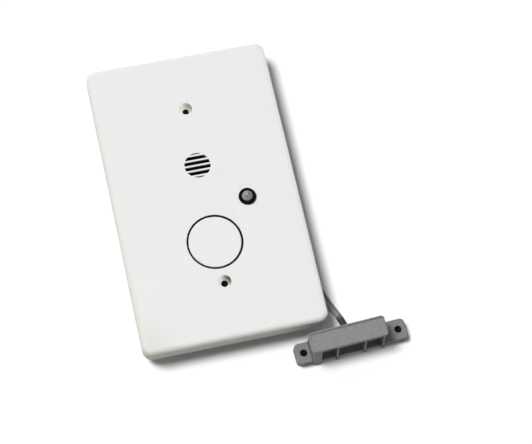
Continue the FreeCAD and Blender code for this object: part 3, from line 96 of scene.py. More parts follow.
class DoorAlarmFinish(bpy.types.PropertyGroup):
    """Colours of the moulded and plated surfaces"""

    cover: colour("Cover", "Off-white plastic of the plate and the button", (0.762, 0.762, 0.758))
    # Rim: a creamier tone mixed with painted shade, darker towards the plate's lower end, on its left rounding and
    # in its lower left corner
    rim: colour("Rim", "Creamier tone of the plate's sides and rounded rim", (0.675, 0.665, 0.615))
    # Painted light: a paler tone on the plate's rounded rim on the lead's side
    painted_lit_rim: colour("Bright rim", "Paler tone of the plate's rounded rim on the lead's side", (0.91, 0.91, 0.905))
    # Rim height: where the creamier tone and its painted shade begin on the plate's sides
    rim_height: FloatProperty(name="Rim height", description="Height at which the plate's face turns creamier",
                              default=0.0149, min=0.0, max=0.02, unit="LENGTH", precision=5)
    housing: colour("Housing", "Cream plastic of the rear housing and battery door", (0.74, 0.73, 0.67))
    contact: colour("Contact", "Grey plastic of the contact's case", (0.212, 0.212, 0.212))
    foot: colour("Foot", "Darker grey plastic of the contact's foot and ears", (0.185, 0.185, 0.188))
    jacket: colour("Jacket", "Flexible grey jacket of the lead", (0.12, 0.12, 0.125))
    # Painted light: the lead's left conductor is painted paler than the right
    lit: colour("Marked side", "Paler jacket of the lead's marked conductor", (0.30, 0.30, 0.31))
    black: colour("Black", "Black plastic of the bezel, sounder and soldered parts", (0.003, 0.003, 0.0032))
    lacquer: colour("Lacquer", "Green lacquer of the circuit board", (0.012, 0.11, 0.035))
    plating: colour("Plating", "Bright plating of screws, springs and wires", (0.62, 0.61, 0.58))


class DoorAlarmLead(bpy.types.PropertyGroup):
    """Section of the flat twin lead"""

    width: FloatProperty(name="Width", description="Across both conductors", default=0.0028,
                         min=0.001, max=0.006, unit="LENGTH", precision=5)
    thick: FloatProperty(name="Thickness", description="Height of each rounded side", default=0.0014,
                         min=0.0005, max=0.003, unit="LENGTH", precision=5)
    groove: FloatProperty(name="Groove", description="Depth of the groove between the sides", default=0.00028,
                          min=0.0, max=0.0006, unit="LENGTH", precision=5)


class DoorAlarmStage(bpy.types.PropertyGroup):
    """Camera and light"""

    camera_place: FloatVectorProperty(name="Camera place", description="Where the camera stands", size=3,
                                      subtype="TRANSLATION", default=(-0.077250, -0.248425, 0.738646))
    focal_length: FloatProperty(name="Focal length", description="For a sensor 36 mm wide, in millimetres",
                                default=116.44, min=20.0, max=300.0)
    sun_strength: FloatProperty(name="Key light", description="Strength of the soft key light",
                                default=2.94, min=0.0, max=10.0)
    sun_spread: FloatProperty(name="Key spread", description="How wide the key light is", default=math.radians(20.0),
                              min=0.0, max=math.pi, unit="ROTATION")
    glint_strength: FloatProperty(name="Glint light", description="Strength of the small light from above the plate",
                                  default=0.2, min=0.0, max=3.0)
    sky_strength: FloatProperty(name="Fill light", description="Strength of the even light from all round",
                                default=0.18, min=0.0, max=2.0)
    floor_white: FloatProperty(name="Floor", description="Brightness of the floor as it is seen", default=1.0,
                               min=0.0, max=1.0)
    floor_bounce: FloatProperty(name="Floor bounce", description="Share of light that the floor sends back",
                                default=0.5, min=0.0, max=1.0)


# Materials


class Finish:
    """A node material built round one Principled shader, with a pattern on Object coordinates."""

    def __init__(self, name):
        self.material = bpy.data.materials.new(name)
        self.material.use_nodes = True
        self.nodes = self.material.node_tree.nodes
        self.links = self.material.node_tree.links
        self.shader = self.nodes["Principled BSDF"]
        self.place = self.nodes.new("ShaderNodeTexCoord").outputs["Object"]
        self.bump = None

    def set(self, **values):
        for key, value in values.items():
            self.shader.inputs[key.replace("_", " ")].default_value = value
        return self

    def noise(self, scale, detail=3.0, roughness=0.5, place=None):
        node = self.nodes.new("ShaderNodeTexNoise")
        node.inputs["Scale"].default_value = scale
        node.inputs["Detail"].default_value = detail
        node.inputs["Roughness"].default_value = roughness
        self.links.new(place or self.place, node.inputs["Vector"])
        return node.outputs["Fac"]

    def ramp(self, source, low, high, low_colour, high_colour):
        """Blends two colours as a value goes from low to high."""
        node = self.nodes.new("ShaderNodeValToRGB")
        node.color_ramp.elements[0].position = low
        node.color_ramp.elements[1].position = high
        node.color_ramp.elements[0].color = (*low_colour, 1.0)
        node.color_ramp.elements[1].color = (*high_colour, 1.0)
        self.links.new(source, node.inputs["Fac"])
        return node.outputs["Color"]

    def math(self, operation, first, second):
        node = self.nodes.new("ShaderNodeMath")
        node.operation = operation
        for socket, value in zip(node.inputs, (first, second)):
            if isinstance(value, (int, float)):
                socket.default_value = value
            else:
                self.links.new(value, socket)
        return node.outputs["Value"]

    def capped(self, source):
        return self.math("MINIMUM", self.math("MAXIMUM", source, 0.0), 1.0)

    def rise(self, source, start, length):
        """Nought at the start, one a length further on, and level beyond both."""
        return self.capped(self.math("MULTIPLY", self.math("SUBTRACT", source, start), 1.0 / length))

    def mix(self, share, first, second):
        node = self.nodes.new("ShaderNodeMix")
        node.data_type = "RGBA"
        sockets = [s for s in node.inputs if s.name == "Factor" and s.type == "VALUE"]
        sockets += [s for s in node.inputs if s.name in ("A", "B") and s.type == "RGBA"]
        for socket, value in zip(sockets, (share, first, second)):
            if hasattr(value, "links"):
                self.links.new(value, socket)
            elif socket.type == "RGBA":
                socket.default_value = (*value, 1.0)
            else:
                socket.default_value = value
        return [s for s in node.outputs if s.type == "RGBA"][0]

    def vector_math(self, operation, source, value=None, output="Vector"):
        node = self.nodes.new("ShaderNodeVectorMath")
        node.operation = operation
        self.links.new(source, node.inputs[0])
        if value:
            node.inputs[1].default_value = value
        return node.outputs[output]

    def distance_from(self, x, y):
        """How far a point stands from an axis along Z, in centimetres."""
        shifted = self.vector_math("SUBTRACT", self.place, (x, y, 0.0))
        return self.vector_math("LENGTH", self.vector_math("MULTIPLY", shifted, (100.0, 100.0, 0.0)), output="Value")

    def along(self, x, y, heading):
        """How far a point lies from (x, y) in a direction, in centimetres."""
        shifted = self.vector_math("SUBTRACT", self.place, (x, y, 0.0))
        return self.vector_math("DOT_PRODUCT", shifted, [100.0 * part for part in heading], "Value")

    def colour(self, source):
        self.links.new(source, self.shader.inputs["Base Color"])
        return self

    def roughness(self, source, low, high):
        node = self.nodes.new("ShaderNodeMapRange")
        node.inputs["To Min"].default_value = low
        node.inputs["To Max"].default_value = high
        self.links.new(source, node.inputs["Value"])
        self.links.new(node.outputs["Result"], self.shader.inputs["Roughness"])
        return self

    def relief(self, source, strength, distance):
        """Adds bump; a later call is laid over the earlier ones."""
        node = self.nodes.new("ShaderNodeBump")
        node.inputs["Strength"].default_value = strength
        node.inputs["Distance"].default_value = distance
        self.links.new(source, node.inputs["Height"])
        if self.bump:
            self.links.new(self.bump, node.inputs["Normal"])
        self.bump = node.outputs["Normal"]
        self.links.new(self.bump, self.shader.inputs["Normal"])
        return self


def scaled(base, factor):
    return tuple(min(1.0, channel * factor) for channel in base)


def moulded_plastic(name, base, grain, roughness=0.5, variation=0.03, specular=0.35, patches=45.0):
    """Moulded plastic: a change of tone from patch to patch, and the fine grain of a spark-eroded mould."""
    finish = Finish(name).set(Roughness=roughness, Specular_IOR_Level=specular)
    tone = finish.noise(patches, 4.0)
    finish.colour(finish.ramp(tone, 0.3, 0.7, scaled(base, 1.0 - variation), scaled(base, 1.0 + variation)))
    fine = finish.noise(5200.0, 2.0, 0.6)
    finish.roughness(finish.noise(900.0, 3.0), roughness - 0.06, roughness + 0.08)
    return finish.relief(fine, 0.25, grain).material


def plated_metal(name, base, roughness=0.3):
    """Plated steel with drawn streaks and a little tarnish."""
    finish = Finish(name).set(Metallic=1.0)
    tone = finish.noise(700.0, 4.0, 0.6)
    finish.colour(finish.ramp(tone, 0.25, 0.75, scaled(base, 0.82), scaled(base, 1.1)))
    finish.roughness(finish.noise(2600.0, 2.0), roughness - 0.08, roughness + 0.15)
    return finish.relief(finish.noise(6000.0, 2.0), 0.2, 0.00001).material


def lead_jacket(name, base):
    """Flexible jacket with faint lengthways draw lines and a dulled surface."""
    finish = Finish(name).set(Roughness=0.42, Specular_IOR_Level=0.45)
    finish.colour(finish.ramp(finish.noise(260.0, 4.0), 0.3, 0.7, scaled(base, 0.86), scaled(base, 1.14)))
    finish.roughness(finish.noise(1200.0, 2.0), 0.34, 0.52)
    return finish.relief(finish.noise(4000.0, 2.0), 0.2, 0.00002).material


def board_lacquer(name, base):
    """Lacquered laminate: paler tracks under the lacquer and the weave of the glass cloth."""
    finish = Finish(name).set(Roughness=0.28, Specular_IOR_Level=0.5, Coat_Weight=0.3)
    cells = finish.nodes.new("ShaderNodeTexVoronoi")
    cells.distance = "MANHATTAN"
    cells.feature = "DISTANCE_TO_EDGE"
    cells.inputs["Scale"].default_value = 210.0
    finish.links.new(finish.place, cells.inputs["Vector"])
    tracks = finish.ramp(cells.outputs["Distance"], 0.06, 0.09, scaled(base, 2.1), base)
    finish.colour(tracks)
    weave = finish.nodes.new("ShaderNodeTexWave")
    weave.inputs["Scale"].default_value = 900.0
    finish.links.new(finish.place, weave.inputs["Vector"])
    return finish.relief(weave.outputs["Fac"], 0.2, 0.00002).material


def dress(node, material):
    """Gives a CAD node one finish."""
    slots = NODES[node].data.materials
    slots.clear()
    slots.append(material)


def finish_settings():
    return bpy.context.scene.door_alarm_finish


def seen_rays(nodes, links):
    """One for rays from the camera, also by way of gloss and clear plastic, and nought for the rest."""
    rays = nodes.new("ShaderNodeLightPath")
    share = rays.outputs["Is Camera Ray"]
    for kind in ("Is Glossy Ray", "Is Transmission Ray"):
        larger = nodes.new("ShaderNodeMath")
        larger.operation = "MAXIMUM"
        links.new(share, larger.inputs[0])
        links.new(rays.outputs[kind], larger.inputs[1])
        share = larger.outputs["Value"]
    return share


# Shapes


def deselect_all():
    if bpy.context.object and bpy.context.object.mode != "OBJECT":
        bpy.ops.object.mode_set(mode="OBJECT")
    bpy.ops.object.select_all(action="DESELECT")


def settle(piece):
    """Puts the piece's place into its mesh, so that its object sits at the origin."""
    deselect_all()
    piece.select_set(True)
    bpy.context.view_layer.objects.active = piece
    bpy.ops.object.transform_apply(location=True, rotation=True, scale=True)
    return piece


def lead_line():
    """The points of the lead's smooth line: a NURBS spline on the route's points."""
    curve = bpy.data.curves.new("lead_route", "CURVE")
    curve.dimensions = "3D"
    curve.resolution_u = 10
    spline = curve.splines.new("NURBS")
    spline.points.add(len(LEAD_ROUTE) - 1)
    for point, place in zip(spline.points, LEAD_ROUTE):
        point.co = (*place, 1.0)
    spline.order_u = 3
    spline.use_endpoint_u = True
    route = bpy.data.objects.new("lead_route", curve)
    bpy.context.scene.collection.objects.link(route)
    bpy.context.view_layer.update()
    line = bpy.data.meshes.new_from_object(route)
    places = [vertex.co.copy() for vertex in line.vertices]
    bpy.data.objects.remove(route)
    bpy.data.meshes.remove(line)
    if (places[0] - Vector(LEAD_ROUTE[0])).length > (places[-1] - Vector(LEAD_ROUTE[0])).length:
        places.reverse()
    return places


def even_line(places, length, steps):
    """Points a step apart on a line, from its start as far as a length."""
    marks = [0.0]
    for before, after in zip(places, places[1:]):
        marks.append(marks[-1] + (after - before).length)
    line = []
    for k in range(steps + 1):
        reach = length * k / steps
        index = max(i for i, mark in enumerate(marks[:-1]) if mark <= reach)
        share = (reach - marks[index]) / (marks[index + 1] - marks[index])
        line.append(places[index].lerp(places[index + 1], share))
    return line


def twin_section(width, thick, groove, steps=9):
    """Outline of two rounded sides with a groove between them, above and below."""
    radius = thick / 2
    centre = width / 2 - radius
    waist = max(radius - groove, radius * 0.3)
    start = math.asin(min(1.0, waist / radius))
    sides = []
    for side in (1, -1):
        for k in range(steps + 1):
            turn = (math.pi - start) * (2 * k / steps - 1)
            across = side * (centre + radius * math.cos(turn))
            sides.append((across, side * radius * math.sin(turn)))
    return sides


def swept_mesh(name, places, outline, swell=None):
    """A closed tube whose outline keeps its width level along the line, and is swollen from place to place."""
    swell = swell or [1.0] * len(places)
    vertices = []
    for k, place in enumerate(places):
        heading = places[min(k + 1, len(places) - 1)] - places[max(k - 1, 0)]
        across = heading.cross(Vector((0, 0, 1))).normalized()
        upwards = across.cross(heading).normalized()
        vertices += [place + (across * x + upwards * y) * swell[k] for x, y in outline]
    count = len(outline)
    faces = [tuple(range(count))]
    for ring in range(len(places) - 1):
        low, high = ring * count, (ring + 1) * count
        faces += [(low + k, high + k, high + (k + 1) % count, low + (k + 1) % count) for k in range(count)]
    faces.append(tuple(reversed(range(len(vertices) - count, len(vertices)))))
    mesh = bpy.data.meshes.new(name)
    mesh.from_pydata(vertices, [], faces)
    mesh.update()
    piece = bpy.data.objects.new(name, mesh)
    bpy.context.scene.collection.objects.link(piece)
    return piece


def paint_lit_side(lead, places):
    """Gives the faces of one conductor, on the left along the line, the lead's second material, painted paler as
    painted light.
    """
    for face in lead.data.polygons:
        k = min(range(len(places)), key=lambda i: (places[i] - face.center).length_squared)
        heading = places[min(k + 1, len(places) - 1)] - places[max(k - 1, 0)]
        if (face.center - places[k]).dot(heading.cross(Vector((0, 0, 1)))) > 0:
            face.material_index = 1


def face_outwards(piece):
    deselect_all()
    piece.select_set(True)
    bpy.context.view_layer.objects.active = piece
    bpy.ops.object.mode_set(mode="EDIT")
    bpy.ops.mesh.select_all(action="SELECT")
    bpy.ops.mesh.normals_make_consistent(inside=False)
    bpy.ops.object.mode_set(mode="OBJECT")


def smooth(piece, angle=math.radians(35)):
    deselect_all()
    piece.select_set(True)
    bpy.context.view_layer.objects.active = piece
    bpy.ops.object.shade_smooth_by_angle(angle=angle)


def edit(piece):
    deselect_all()
    piece.select_set(True)
    bpy.context.view_layer.objects.active = piece
    bpy.ops.object.mode_set(mode="EDIT")
    bpy.ops.mesh.select_mode(type="FACE")


def pick_faces(piece, wanted):
    """In edit mode, selects the faces whose middle and normal pass a test."""
    bpy.ops.mesh.select_all(action="DESELECT")
    bpy.ops.object.mode_set(mode="OBJECT")
    for face in piece.data.polygons:
        face.select = wanted(face.center, face.normal)
    bpy.ops.object.mode_set(mode="EDIT")


def extrude(move, scale=1.0, centre=None):
    """Extrudes the selected faces, and scales their far end about a point."""
    bpy.ops.mesh.extrude_region_move(TRANSFORM_OT_translate={"value": move})
    if scale != 1.0:
        bpy.ops.transform.resize(value=(scale, scale, 1.0), center_override=centre)


def turned(name, place, radius, low, high, vertices=48):
    """The round blank of a piece that stands on an axis along Z."""
    deselect_all()
    bpy.ops.mesh.primitive_cylinder_add(vertices=vertices, radius=radius, depth=high - low,
                                        location=(place[0], place[1], (low + high) / 2))
    piece = bpy.context.object
    piece.name = name
    return settle(piece)


def cut_away(piece, cutter):
    """Cuts one mesh out of another and removes the cutter."""
    deselect_all()
    bpy.context.view_layer.objects.active = piece
    modifier = piece.modifiers.new("cut", "BOOLEAN")
    modifier.object = cutter
    modifier.solver = "EXACT"
    bpy.ops.object.modifier_apply(modifier="cut")
    bpy.data.objects.remove(cutter)


def cross_cutter(place, low, width, reach, depth):
    """A cross whose arms narrow towards its inner end."""
    deselect_all()
    bpy.ops.mesh.primitive_cube_add(size=1.0, location=(place[0], place[1], low + depth / 4),
                                    scale=(width, width, depth * 1.5))
    cutter = settle(bpy.context.object)
    edit(cutter)
    for way in (Vector((1, 0, 0)), Vector((0, 1, 0)), Vector((-1, 0, 0)), Vector((0, -1, 0))):
        side = Vector((*place, low + depth / 4)) + way * width / 2
        pick_faces(cutter, lambda middle, normal: normal.dot(way) > 0.9 and (middle - side).length < width * 0.3)
        extrude(way * reach)
    pick_faces(cutter, lambda middle, normal: normal.z > 0.9)
    bpy.ops.transform.resize(value=(0.5, 0.5, 1.0), center_override=(*place, low + depth))
    bpy.ops.object.mode_set(mode="OBJECT")
    return cutter


def screw(name, place, head_low, head_high, head_radius, shank_radius, tip, flat_head):
    """A screw whose head faces down: a round or a countersunk head with a cross recess, and a pointed shank."""
    piece = turned(name, place, head_radius, head_low, head_high)
    edit(piece)
    pick_faces(piece, lambda middle, normal: normal.z > 0.9)
    centre = (*place, head_high)
    if flat_head:
        bpy.ops.transform.resize(value=(shank_radius / head_radius,) * 2 + (1.0,), center_override=centre)
    else:
        bpy.ops.mesh.inset(thickness=head_radius - shank_radius)
    length = tip - head_high
    extrude((0, 0, length * 0.85))
    extrude((0, 0, length * 0.15), 0.25, (*place, tip))
    pick_faces(piece, lambda middle, normal: normal.z < -0.9 and middle.z < head_low + 1e-5)
    bpy.ops.mesh.bevel(offset=0.0001 if flat_head else (head_high - head_low) * 0.35, segments=4, affect="EDGES")
    bpy.ops.object.mode_set(mode="OBJECT")
    cut_away(piece, cross_cutter(place, head_low, head_radius * 0.3, head_radius * 0.42, head_radius * 0.5))
    smooth(piece, math.radians(30))
    return piece


def screw_axes(node):
    """Where each screw of a CAD node stands, as (x, y), in a steady order."""
    groups = []
    for vertex in NODES[node].data.vertices:
        place = vertex.co.xy
        near = [group for group in groups if (group[0] - place).length < 0.006]
        if near:
            near[0].append(place)
        else:
            groups.append([place])
    middles = [[(min(p[k] for p in group) + max(p[k] for p in group)) / 2 for k in (0, 1)] for group in groups]
    return sorted(middles)


def joined_copies(name, piece, first, others):
    """Copies a finished piece from its first place to the others and joins them all."""
    copies = []
    for place in others:
        copy = piece.copy()
        copy.data = piece.data.copy()
        copy.data.transform(Matrix.Translation((place[0] - first[0], place[1] - first[1], 0)))
        bpy.context.scene.collection.objects.link(copy)
        copies.append(copy)
    deselect_all()
    for item in (*copies, piece):
        item.select_set(True)
    bpy.context.view_layer.objects.active = piece
    if copies:
        bpy.ops.object.join()
    piece.name = name
    return piece


def plug(name, place, radius, low, high):
    """A soft round plug with a rounded rim and a dished middle."""
    piece = turned(name, place, radius, low, high)
    edit(piece)
    pick_faces(piece, lambda middle, normal: normal.z > 0.9)
    bpy.ops.mesh.bevel(offset=radius * 0.12, segments=3, affect="EDGES")
    pick_faces(piece, lambda middle, normal: normal.z > 0.99)
    bpy.ops.mesh.inset(thickness=radius * 0.3)
    bpy.ops.transform.translate(value=(0, 0, -radius * 0.12))
    pick_faces(piece, lambda middle, normal: normal.z < -0.9)
    bpy.ops.mesh.bevel(offset=radius * 0.08, segments=2, affect="EDGES")
    bpy.ops.object.mode_set(mode="OBJECT")
    smooth(piece, math.radians(40))
    return piece


def add_shade_plug(name, place, radius, low, high, rubber):
    """Puts a black plug into a screw hole, on the object's own body; the plug stands in for the shade deep in the
    hole.
    """
    piece = plug(name, place, radius, low, high)
    piece.data.materials.append(rubber)
    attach(piece, "root")


# Operators


class DOORALARM_OT_stage(bpy.types.Operator):
    """Adds the camera, the floor and the lights"""

    bl_idname = "door_alarm.stage"
    bl_label = "Stage"

    def execute(self, context):
        settings = context.scene.door_alarm_stage
        self.add_camera(context, settings)
        self.add_floor(settings)
        self.add_lights(context, settings)
        context.scene.view_settings.view_transform = "Standard"
        return {"FINISHED"}

    def add_camera(self, context, settings):
        deselect_all()
        bpy.ops.object.camera_add(location=settings.camera_place)
        camera = context.object
        camera.name = "camera"
        camera.data.sensor_fit = "HORIZONTAL"
        camera.data.sensor_width = 36.0
        camera.data.lens = settings.focal_length
        camera.data.clip_start = 0.01
        camera.data.shift_x, camera.data.shift_y = CAMERA_SHIFT
        turn = Matrix((CAMERA_RIGHT, CAMERA_UPWARDS, CAMERA_BACK)).transposed()
        camera.rotation_euler = turn.to_euler()
        context.scene.camera = camera

    def add_floor(self, settings):
        deselect_all()
        bpy.ops.mesh.primitive_plane_add(size=6.0, location=(0, 0, 0))
        floor = bpy.context.object
        floor.name = "floor"
        finish = Finish("floor_paper").set(Roughness=0.9, Specular_IOR_Level=0.0)
        tone = settings.floor_white
        paper = finish.ramp(finish.noise(3.0), 0.3, 0.7, (tone - 0.005,) * 3, (tone,) * 3)
        bounce = (settings.floor_bounce, settings.floor_bounce * 0.985, settings.floor_bounce * 0.93)
        finish.colour(finish.mix(seen_rays(finish.nodes, finish.links), bounce, paper))
        floor.data.materials.append(finish.material)

    def aim(self, lamp, heading):
        lamp.rotation_euler = Vector(heading).normalized().to_track_quat("-Z", "Y").to_euler()

    def add_lights(self, context, settings):
        deselect_all()
        bpy.ops.object.light_add(type="SUN", location=(-0.4, 0.4, 1.0))
        key = context.object
        key.name = "key_light"
        key.data.energy = settings.sun_strength
        key.data.angle = settings.sun_spread
        self.aim(key, KEY_HEADING)
        bpy.ops.object.light_add(type="SUN", location=(-0.1, 0.7, 0.6))
        glint = context.object
        glint.name = "glint_light"
        glint.data.energy = settings.glint_strength
        glint.data.angle = math.radians(6.0)
        self.aim(glint, GLINT_HEADING)
        world = bpy.data.worlds.new("studio")
        world.use_nodes = True
        context.scene.world = world
        nodes, links = world.node_tree.nodes, world.node_tree.links
        seen = nodes.new("ShaderNodeMapRange")
        seen.inputs["To Min"].default_value = settings.sky_strength
        seen.inputs["To Max"].default_value = 1.0
        links.new(seen_rays(nodes, links), seen.inputs["Value"])
        links.new(seen.outputs["Result"], nodes["Background"].inputs["Strength"])
        nodes["Background"].inputs["Color"].default_value = (1, 1, 1, 1)


class DOORALARM_OT_cover(bpy.types.Operator):
    """Finishes the front cover and the push button"""

    bl_idname = "door_alarm.cover"
    bl_label = "Cover and button"

    def execute(self, context):
        plastic = self.cover_plastic(finish_settings())
        for node in ("front_cover", "button_cap"):
            dress(node, plastic)
        rubber = moulded_plastic("seal_rubber", finish_settings().black, 0.00002, roughness=0.7, variation=0.2,
                                 specular=0.06)
        dress("button_seal", rubber)
        # Black plugs stand in for the shade deep in the screw holes
        for k, y in enumerate((SCREW_HOLE_Y, -SCREW_HOLE_Y)):
            add_shade_plug("screw_hole_shade_plug_%d" % k, (0.0, y), *PLATE_SHADE_PLUG, rubber)
            self.add_bush("screw_bush_%d" % k, (0.0, y), *SCREW_BUSHES[k])
        for k, place in enumerate(EAR_HOLES):
            add_shade_plug("ear_hole_shade_plug_%d" % k, place, *EAR_SHADE_PLUG, rubber)
        return {"FINISHED"}

    def add_bush(self, name, place, throat, painted_shade_colour):
        """A thin-lipped soft bush that lines a screw's recess and narrows the hole in its floor."""
        low, top, lip, outer, mouth = 0.01085, 0.01503, 0.0035, 0.00297, 0.00285
        rim_height, wall, narrowing = 0.00008, 0.00012, 0.97
        bush = turned(name, place, outer, low, top - rim_height)
        edit(bush)
        pick_faces(bush, lambda middle, normal: normal.z > 0.9)
        bpy.ops.transform.resize(value=(lip / outer,) * 2 + (1.0,), center_override=(*place, top))
        extrude((0, 0, rim_height), 0.985, (*place, top))
        bpy.ops.mesh.inset(thickness=lip * 0.985 - mouth)
        bpy.ops.mesh.inset(thickness=wall)
        bpy.ops.transform.translate(value=(0, 0, -0.0001))
        extrude((0, 0, low + 0.0005 - top), narrowing, (*place, low))
        bpy.ops.mesh.inset(thickness=(mouth - wall) * narrowing - throat)
        extrude((0, 0, -0.0003))
        bpy.ops.mesh.delete(type="FACE")
        pick_faces(bush, lambda middle, normal: normal.z < -0.9 and middle.z < low + 1e-6)
        bpy.ops.mesh.inset(thickness=outer - throat)
        bpy.ops.mesh.delete(type="FACE")
        bpy.ops.mesh.select_mode(type="VERT")
        bpy.ops.mesh.select_all(action="SELECT")
        bpy.ops.mesh.remove_doubles(threshold=0.00001)
        bpy.ops.mesh.select_all(action="DESELECT")
        bpy.ops.mesh.select_non_manifold()
        bpy.ops.mesh.bridge_edge_loops()
        bpy.ops.object.mode_set(mode="OBJECT")
        face_outwards(bush)
        smooth(bush, math.radians(35))
        bush.data.materials.append(self.bush_plastic(name, place, mouth, painted_shade_colour))
        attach(bush, "root")

    def bush_plastic(self, name, place, mouth, painted_shade_colour):
        """Thin plastic with painted light and shade: it has a little painted glow inside, more on one side than on
        the other, where painted shade darkens it.
        """
        cover = finish_settings().cover
        finish = Finish(name).set(Roughness=0.5, Specular_IOR_Level=0.1, Emission_Strength=0.72)
        # Painted shade across the bush, from pale to its darker side; it also sets the painted glow
        shade = finish.ramp(finish.along(*place, (0.85, 0.53, 0.0)), 0.02, 0.26, (0.80, 0.80, 0.755), painted_shade_colour)
        face = finish.ramp(finish.noise(45.0, 4.0), 0.3, 0.7, scaled(cover, 0.994), scaled(cover, 1.006))
        edge = finish.ramp(finish.distance_from(*place), mouth * 100 - 0.01, mouth * 100 + 0.004, (0,) * 3, (1,) * 3)
        inside = finish.mix(0.7, shade, (0.0, 0.0, 0.0))
        finish.colour(finish.mix(edge, inside, face))
        finish.links.new(finish.mix(edge, shade, (0.0, 0.0, 0.0)), finish.shader.inputs["Emission Color"])
        return finish.material

    def cover_plastic(self, settings):
        """The cover's plastic: its sides and rounded rim turn creamier, with painted shade that darkens towards the
        lower end, on the left rounding and in the lower left corner; its rim on the lead's side has painted light, a
        paler tone and a little painted glow at its edge."""
        finish = Finish("cover_plastic").set(Specular_IOR_Level=0.3, Emission_Strength=1.0)
        parts = finish.nodes.new("ShaderNodeSeparateXYZ")
        finish.links.new(finish.place, parts.inputs["Vector"])
        x, y, z = (parts.outputs[axis] for axis in "XYZ")
        low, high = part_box("front_cover")
        side_fade, left_width, painted_light_start, painted_light_fade = 0.0022, 0.0026, 0.0024, 0.0012
        glow_width, glow_depth, glow_fade = 0.0015, 0.0024, 0.0004
        # Sides and rim below the rim height: creamier tone with painted shade, stronger towards the lower end
        below = finish.math("SUBTRACT", settings.rim_height, z)
        side = finish.capped(finish.math("MULTIPLY", below, 1.0 / side_fade))
        downward = finish.math("SUBTRACT", 0.5, finish.math("MULTIPLY", y, 0.5 / high.y))
        side = finish.math("MULTIPLY", side, finish.math("POWER", downward, 3.0))
        # Painted shade on the left rounding, strongest near the lower end
        inward = finish.rise(x, low.x, left_width)
        left = finish.math("MULTIPLY", inward, finish.math("SUBTRACT", 1.0, inward))
        lowest = finish.math("MULTIPLY", finish.math("POWER", downward, 6.0), 3.0)
        left = finish.math("MULTIPLY", left, finish.math("ADD", lowest, 3.0))
        # Painted shade in the lower left corner of the face
        away = finish.math("MULTIPLY", finish.distance_from(low.x, low.y), 0.52)
        corner = finish.ramp(away, 0.1, 1.0, (0.8,) * 3, (0.0,) * 3)
        cream_and_painted_shade = finish.math("MAXIMUM", finish.math("MAXIMUM", side, left), corner)
        tone = finish.ramp(finish.noise(45.0, 4.0), 0.3, 0.7, scaled(settings.cover, 0.994),
                           scaled(settings.cover, 1.006))
        tone = finish.mix(finish.math("MINIMUM", cream_and_painted_shade, 1.0), tone, settings.rim)
        plain = finish.math("SUBTRACT", 1.0, side)
        # Painted light: the rounded rim on the lead's side is painted paler
        painted_light_share = finish.math("MULTIPLY", finish.rise(x, high.x - painted_light_start, painted_light_fade), plain)
        finish.colour(finish.mix(painted_light_share, tone, settings.painted_lit_rim))
        # Painted glow: the outer edge of the rounded rim on the lead's side glows a little, as painted light
        edge = finish.math("MULTIPLY", finish.rise(x, high.x - glow_width, glow_width), plain)
        edge = finish.math("MULTIPLY", edge, finish.rise(z, high.z - glow_depth, glow_fade))
        finish.links.new(finish.mix(edge, (0.0,) * 3, (0.32, 0.32, 0.31)), finish.shader.inputs["Emission Color"])
        finish.roughness(finish.noise(900.0, 3.0), 0.44, 0.58)
        return finish.relief(finish.noise(5200.0, 2.0, 0.6), 0.25, 0.00001).material


class DOORALARM_OT_housing(bpy.types.Operator):
    """Finishes the rear housing, its door, its screws and the battery"""

    bl_idname = "door_alarm.housing"
    bl_label = "Rear housing"

    def execute(self, context):
        settings = finish_settings()
        plastic = moulded_plastic("housing_plastic", settings.housing, 0.00002, roughness=0.52, variation=0.02)
        for node in ("rear_housing", "battery_door"):
            dress(node, plastic)
        plated = plated_metal("plated_steel", settings.plating)
        for node in ("battery_door_screws", "housing_screws", "battery_plate", "spring_plate", "battery_spring",
                     "light_leads", "reed_leads"):
            dress(node, plated)
        dress("battery", moulded_plastic("battery_wrap", (0.05, 0.07, 0.12), 0.000005, roughness=0.3,
                                         variation=0.05, specular=0.6))
        self.add_screws("housing_screws", "case_screws", head_radius=0.0022, shank_radius=0.0011, head_height=0.0015,
                        flat_head=False, material=plated)
        self.add_screws("battery_door_screws", "door_screws", head_radius=0.0018, shank_radius=0.0009,
                        head_height=0.0009, flat_head=True, material=plated)
        return {"FINISHED"}

    def add_screws(self, node, name, head_radius, shank_radius, head_height, flat_head, material):
        """Stands finished screws with cross recesses where a CAD node has plain ones."""
        low, high = (corner.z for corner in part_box(node))
        first, *others = screw_axes(node)
        piece = screw(name, first, low, low + head_height, head_radius, shank_radius, high, flat_head)
        piece.data.materials.append(material)
        piece = joined_copies(name, piece, first, others)
        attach(piece, "root")
        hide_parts(node)


class DOORALARM_OT_board(bpy.types.Operator):
    """Finishes the circuit board and what is soldered to it"""

    bl_idname = "door_alarm.board"
    bl_label = "Circuit board"

    def execute(self, context):
        settings = finish_settings()
        dress("circuit_board", board_lacquer("board_lacquer", settings.lacquer))
        black = moulded_plastic("black_plastic", settings.black, 0.00001, roughness=0.6, variation=0.15,
                                specular=0.03)
        for node in ("control_chip", "transistor", "switch_case", "switch_plunger", "sounder_case", "light_bezel",
                     "bezel_ring"):
            dress(node, black)
        dress("capacitor", moulded_plastic("capacitor_sleeve", (0.02, 0.03, 0.09), 0.000005, roughness=0.3,
                                           variation=0.06, specular=0.5))
        dress("resistors", moulded_plastic("resistor_lacquer", (0.55, 0.4, 0.22), 0.00001, roughness=0.4,
                                           variation=0.08))
        dress("sounder_gasket", moulded_plastic("gasket_foam", (0.03, 0.03, 0.03), 0.0001, roughness=0.9,
                                                variation=0.3, specular=0.1))
        copper = plated_metal("bare_copper", (0.7, 0.36, 0.22), roughness=0.35)
        for node in ("board_leads", "contact_wires"):
            dress(node, copper)
        dress("contact_terminals", plated_metal("plain_brass", (0.72, 0.55, 0.25), roughness=0.35))
        return {"FINISHED"}


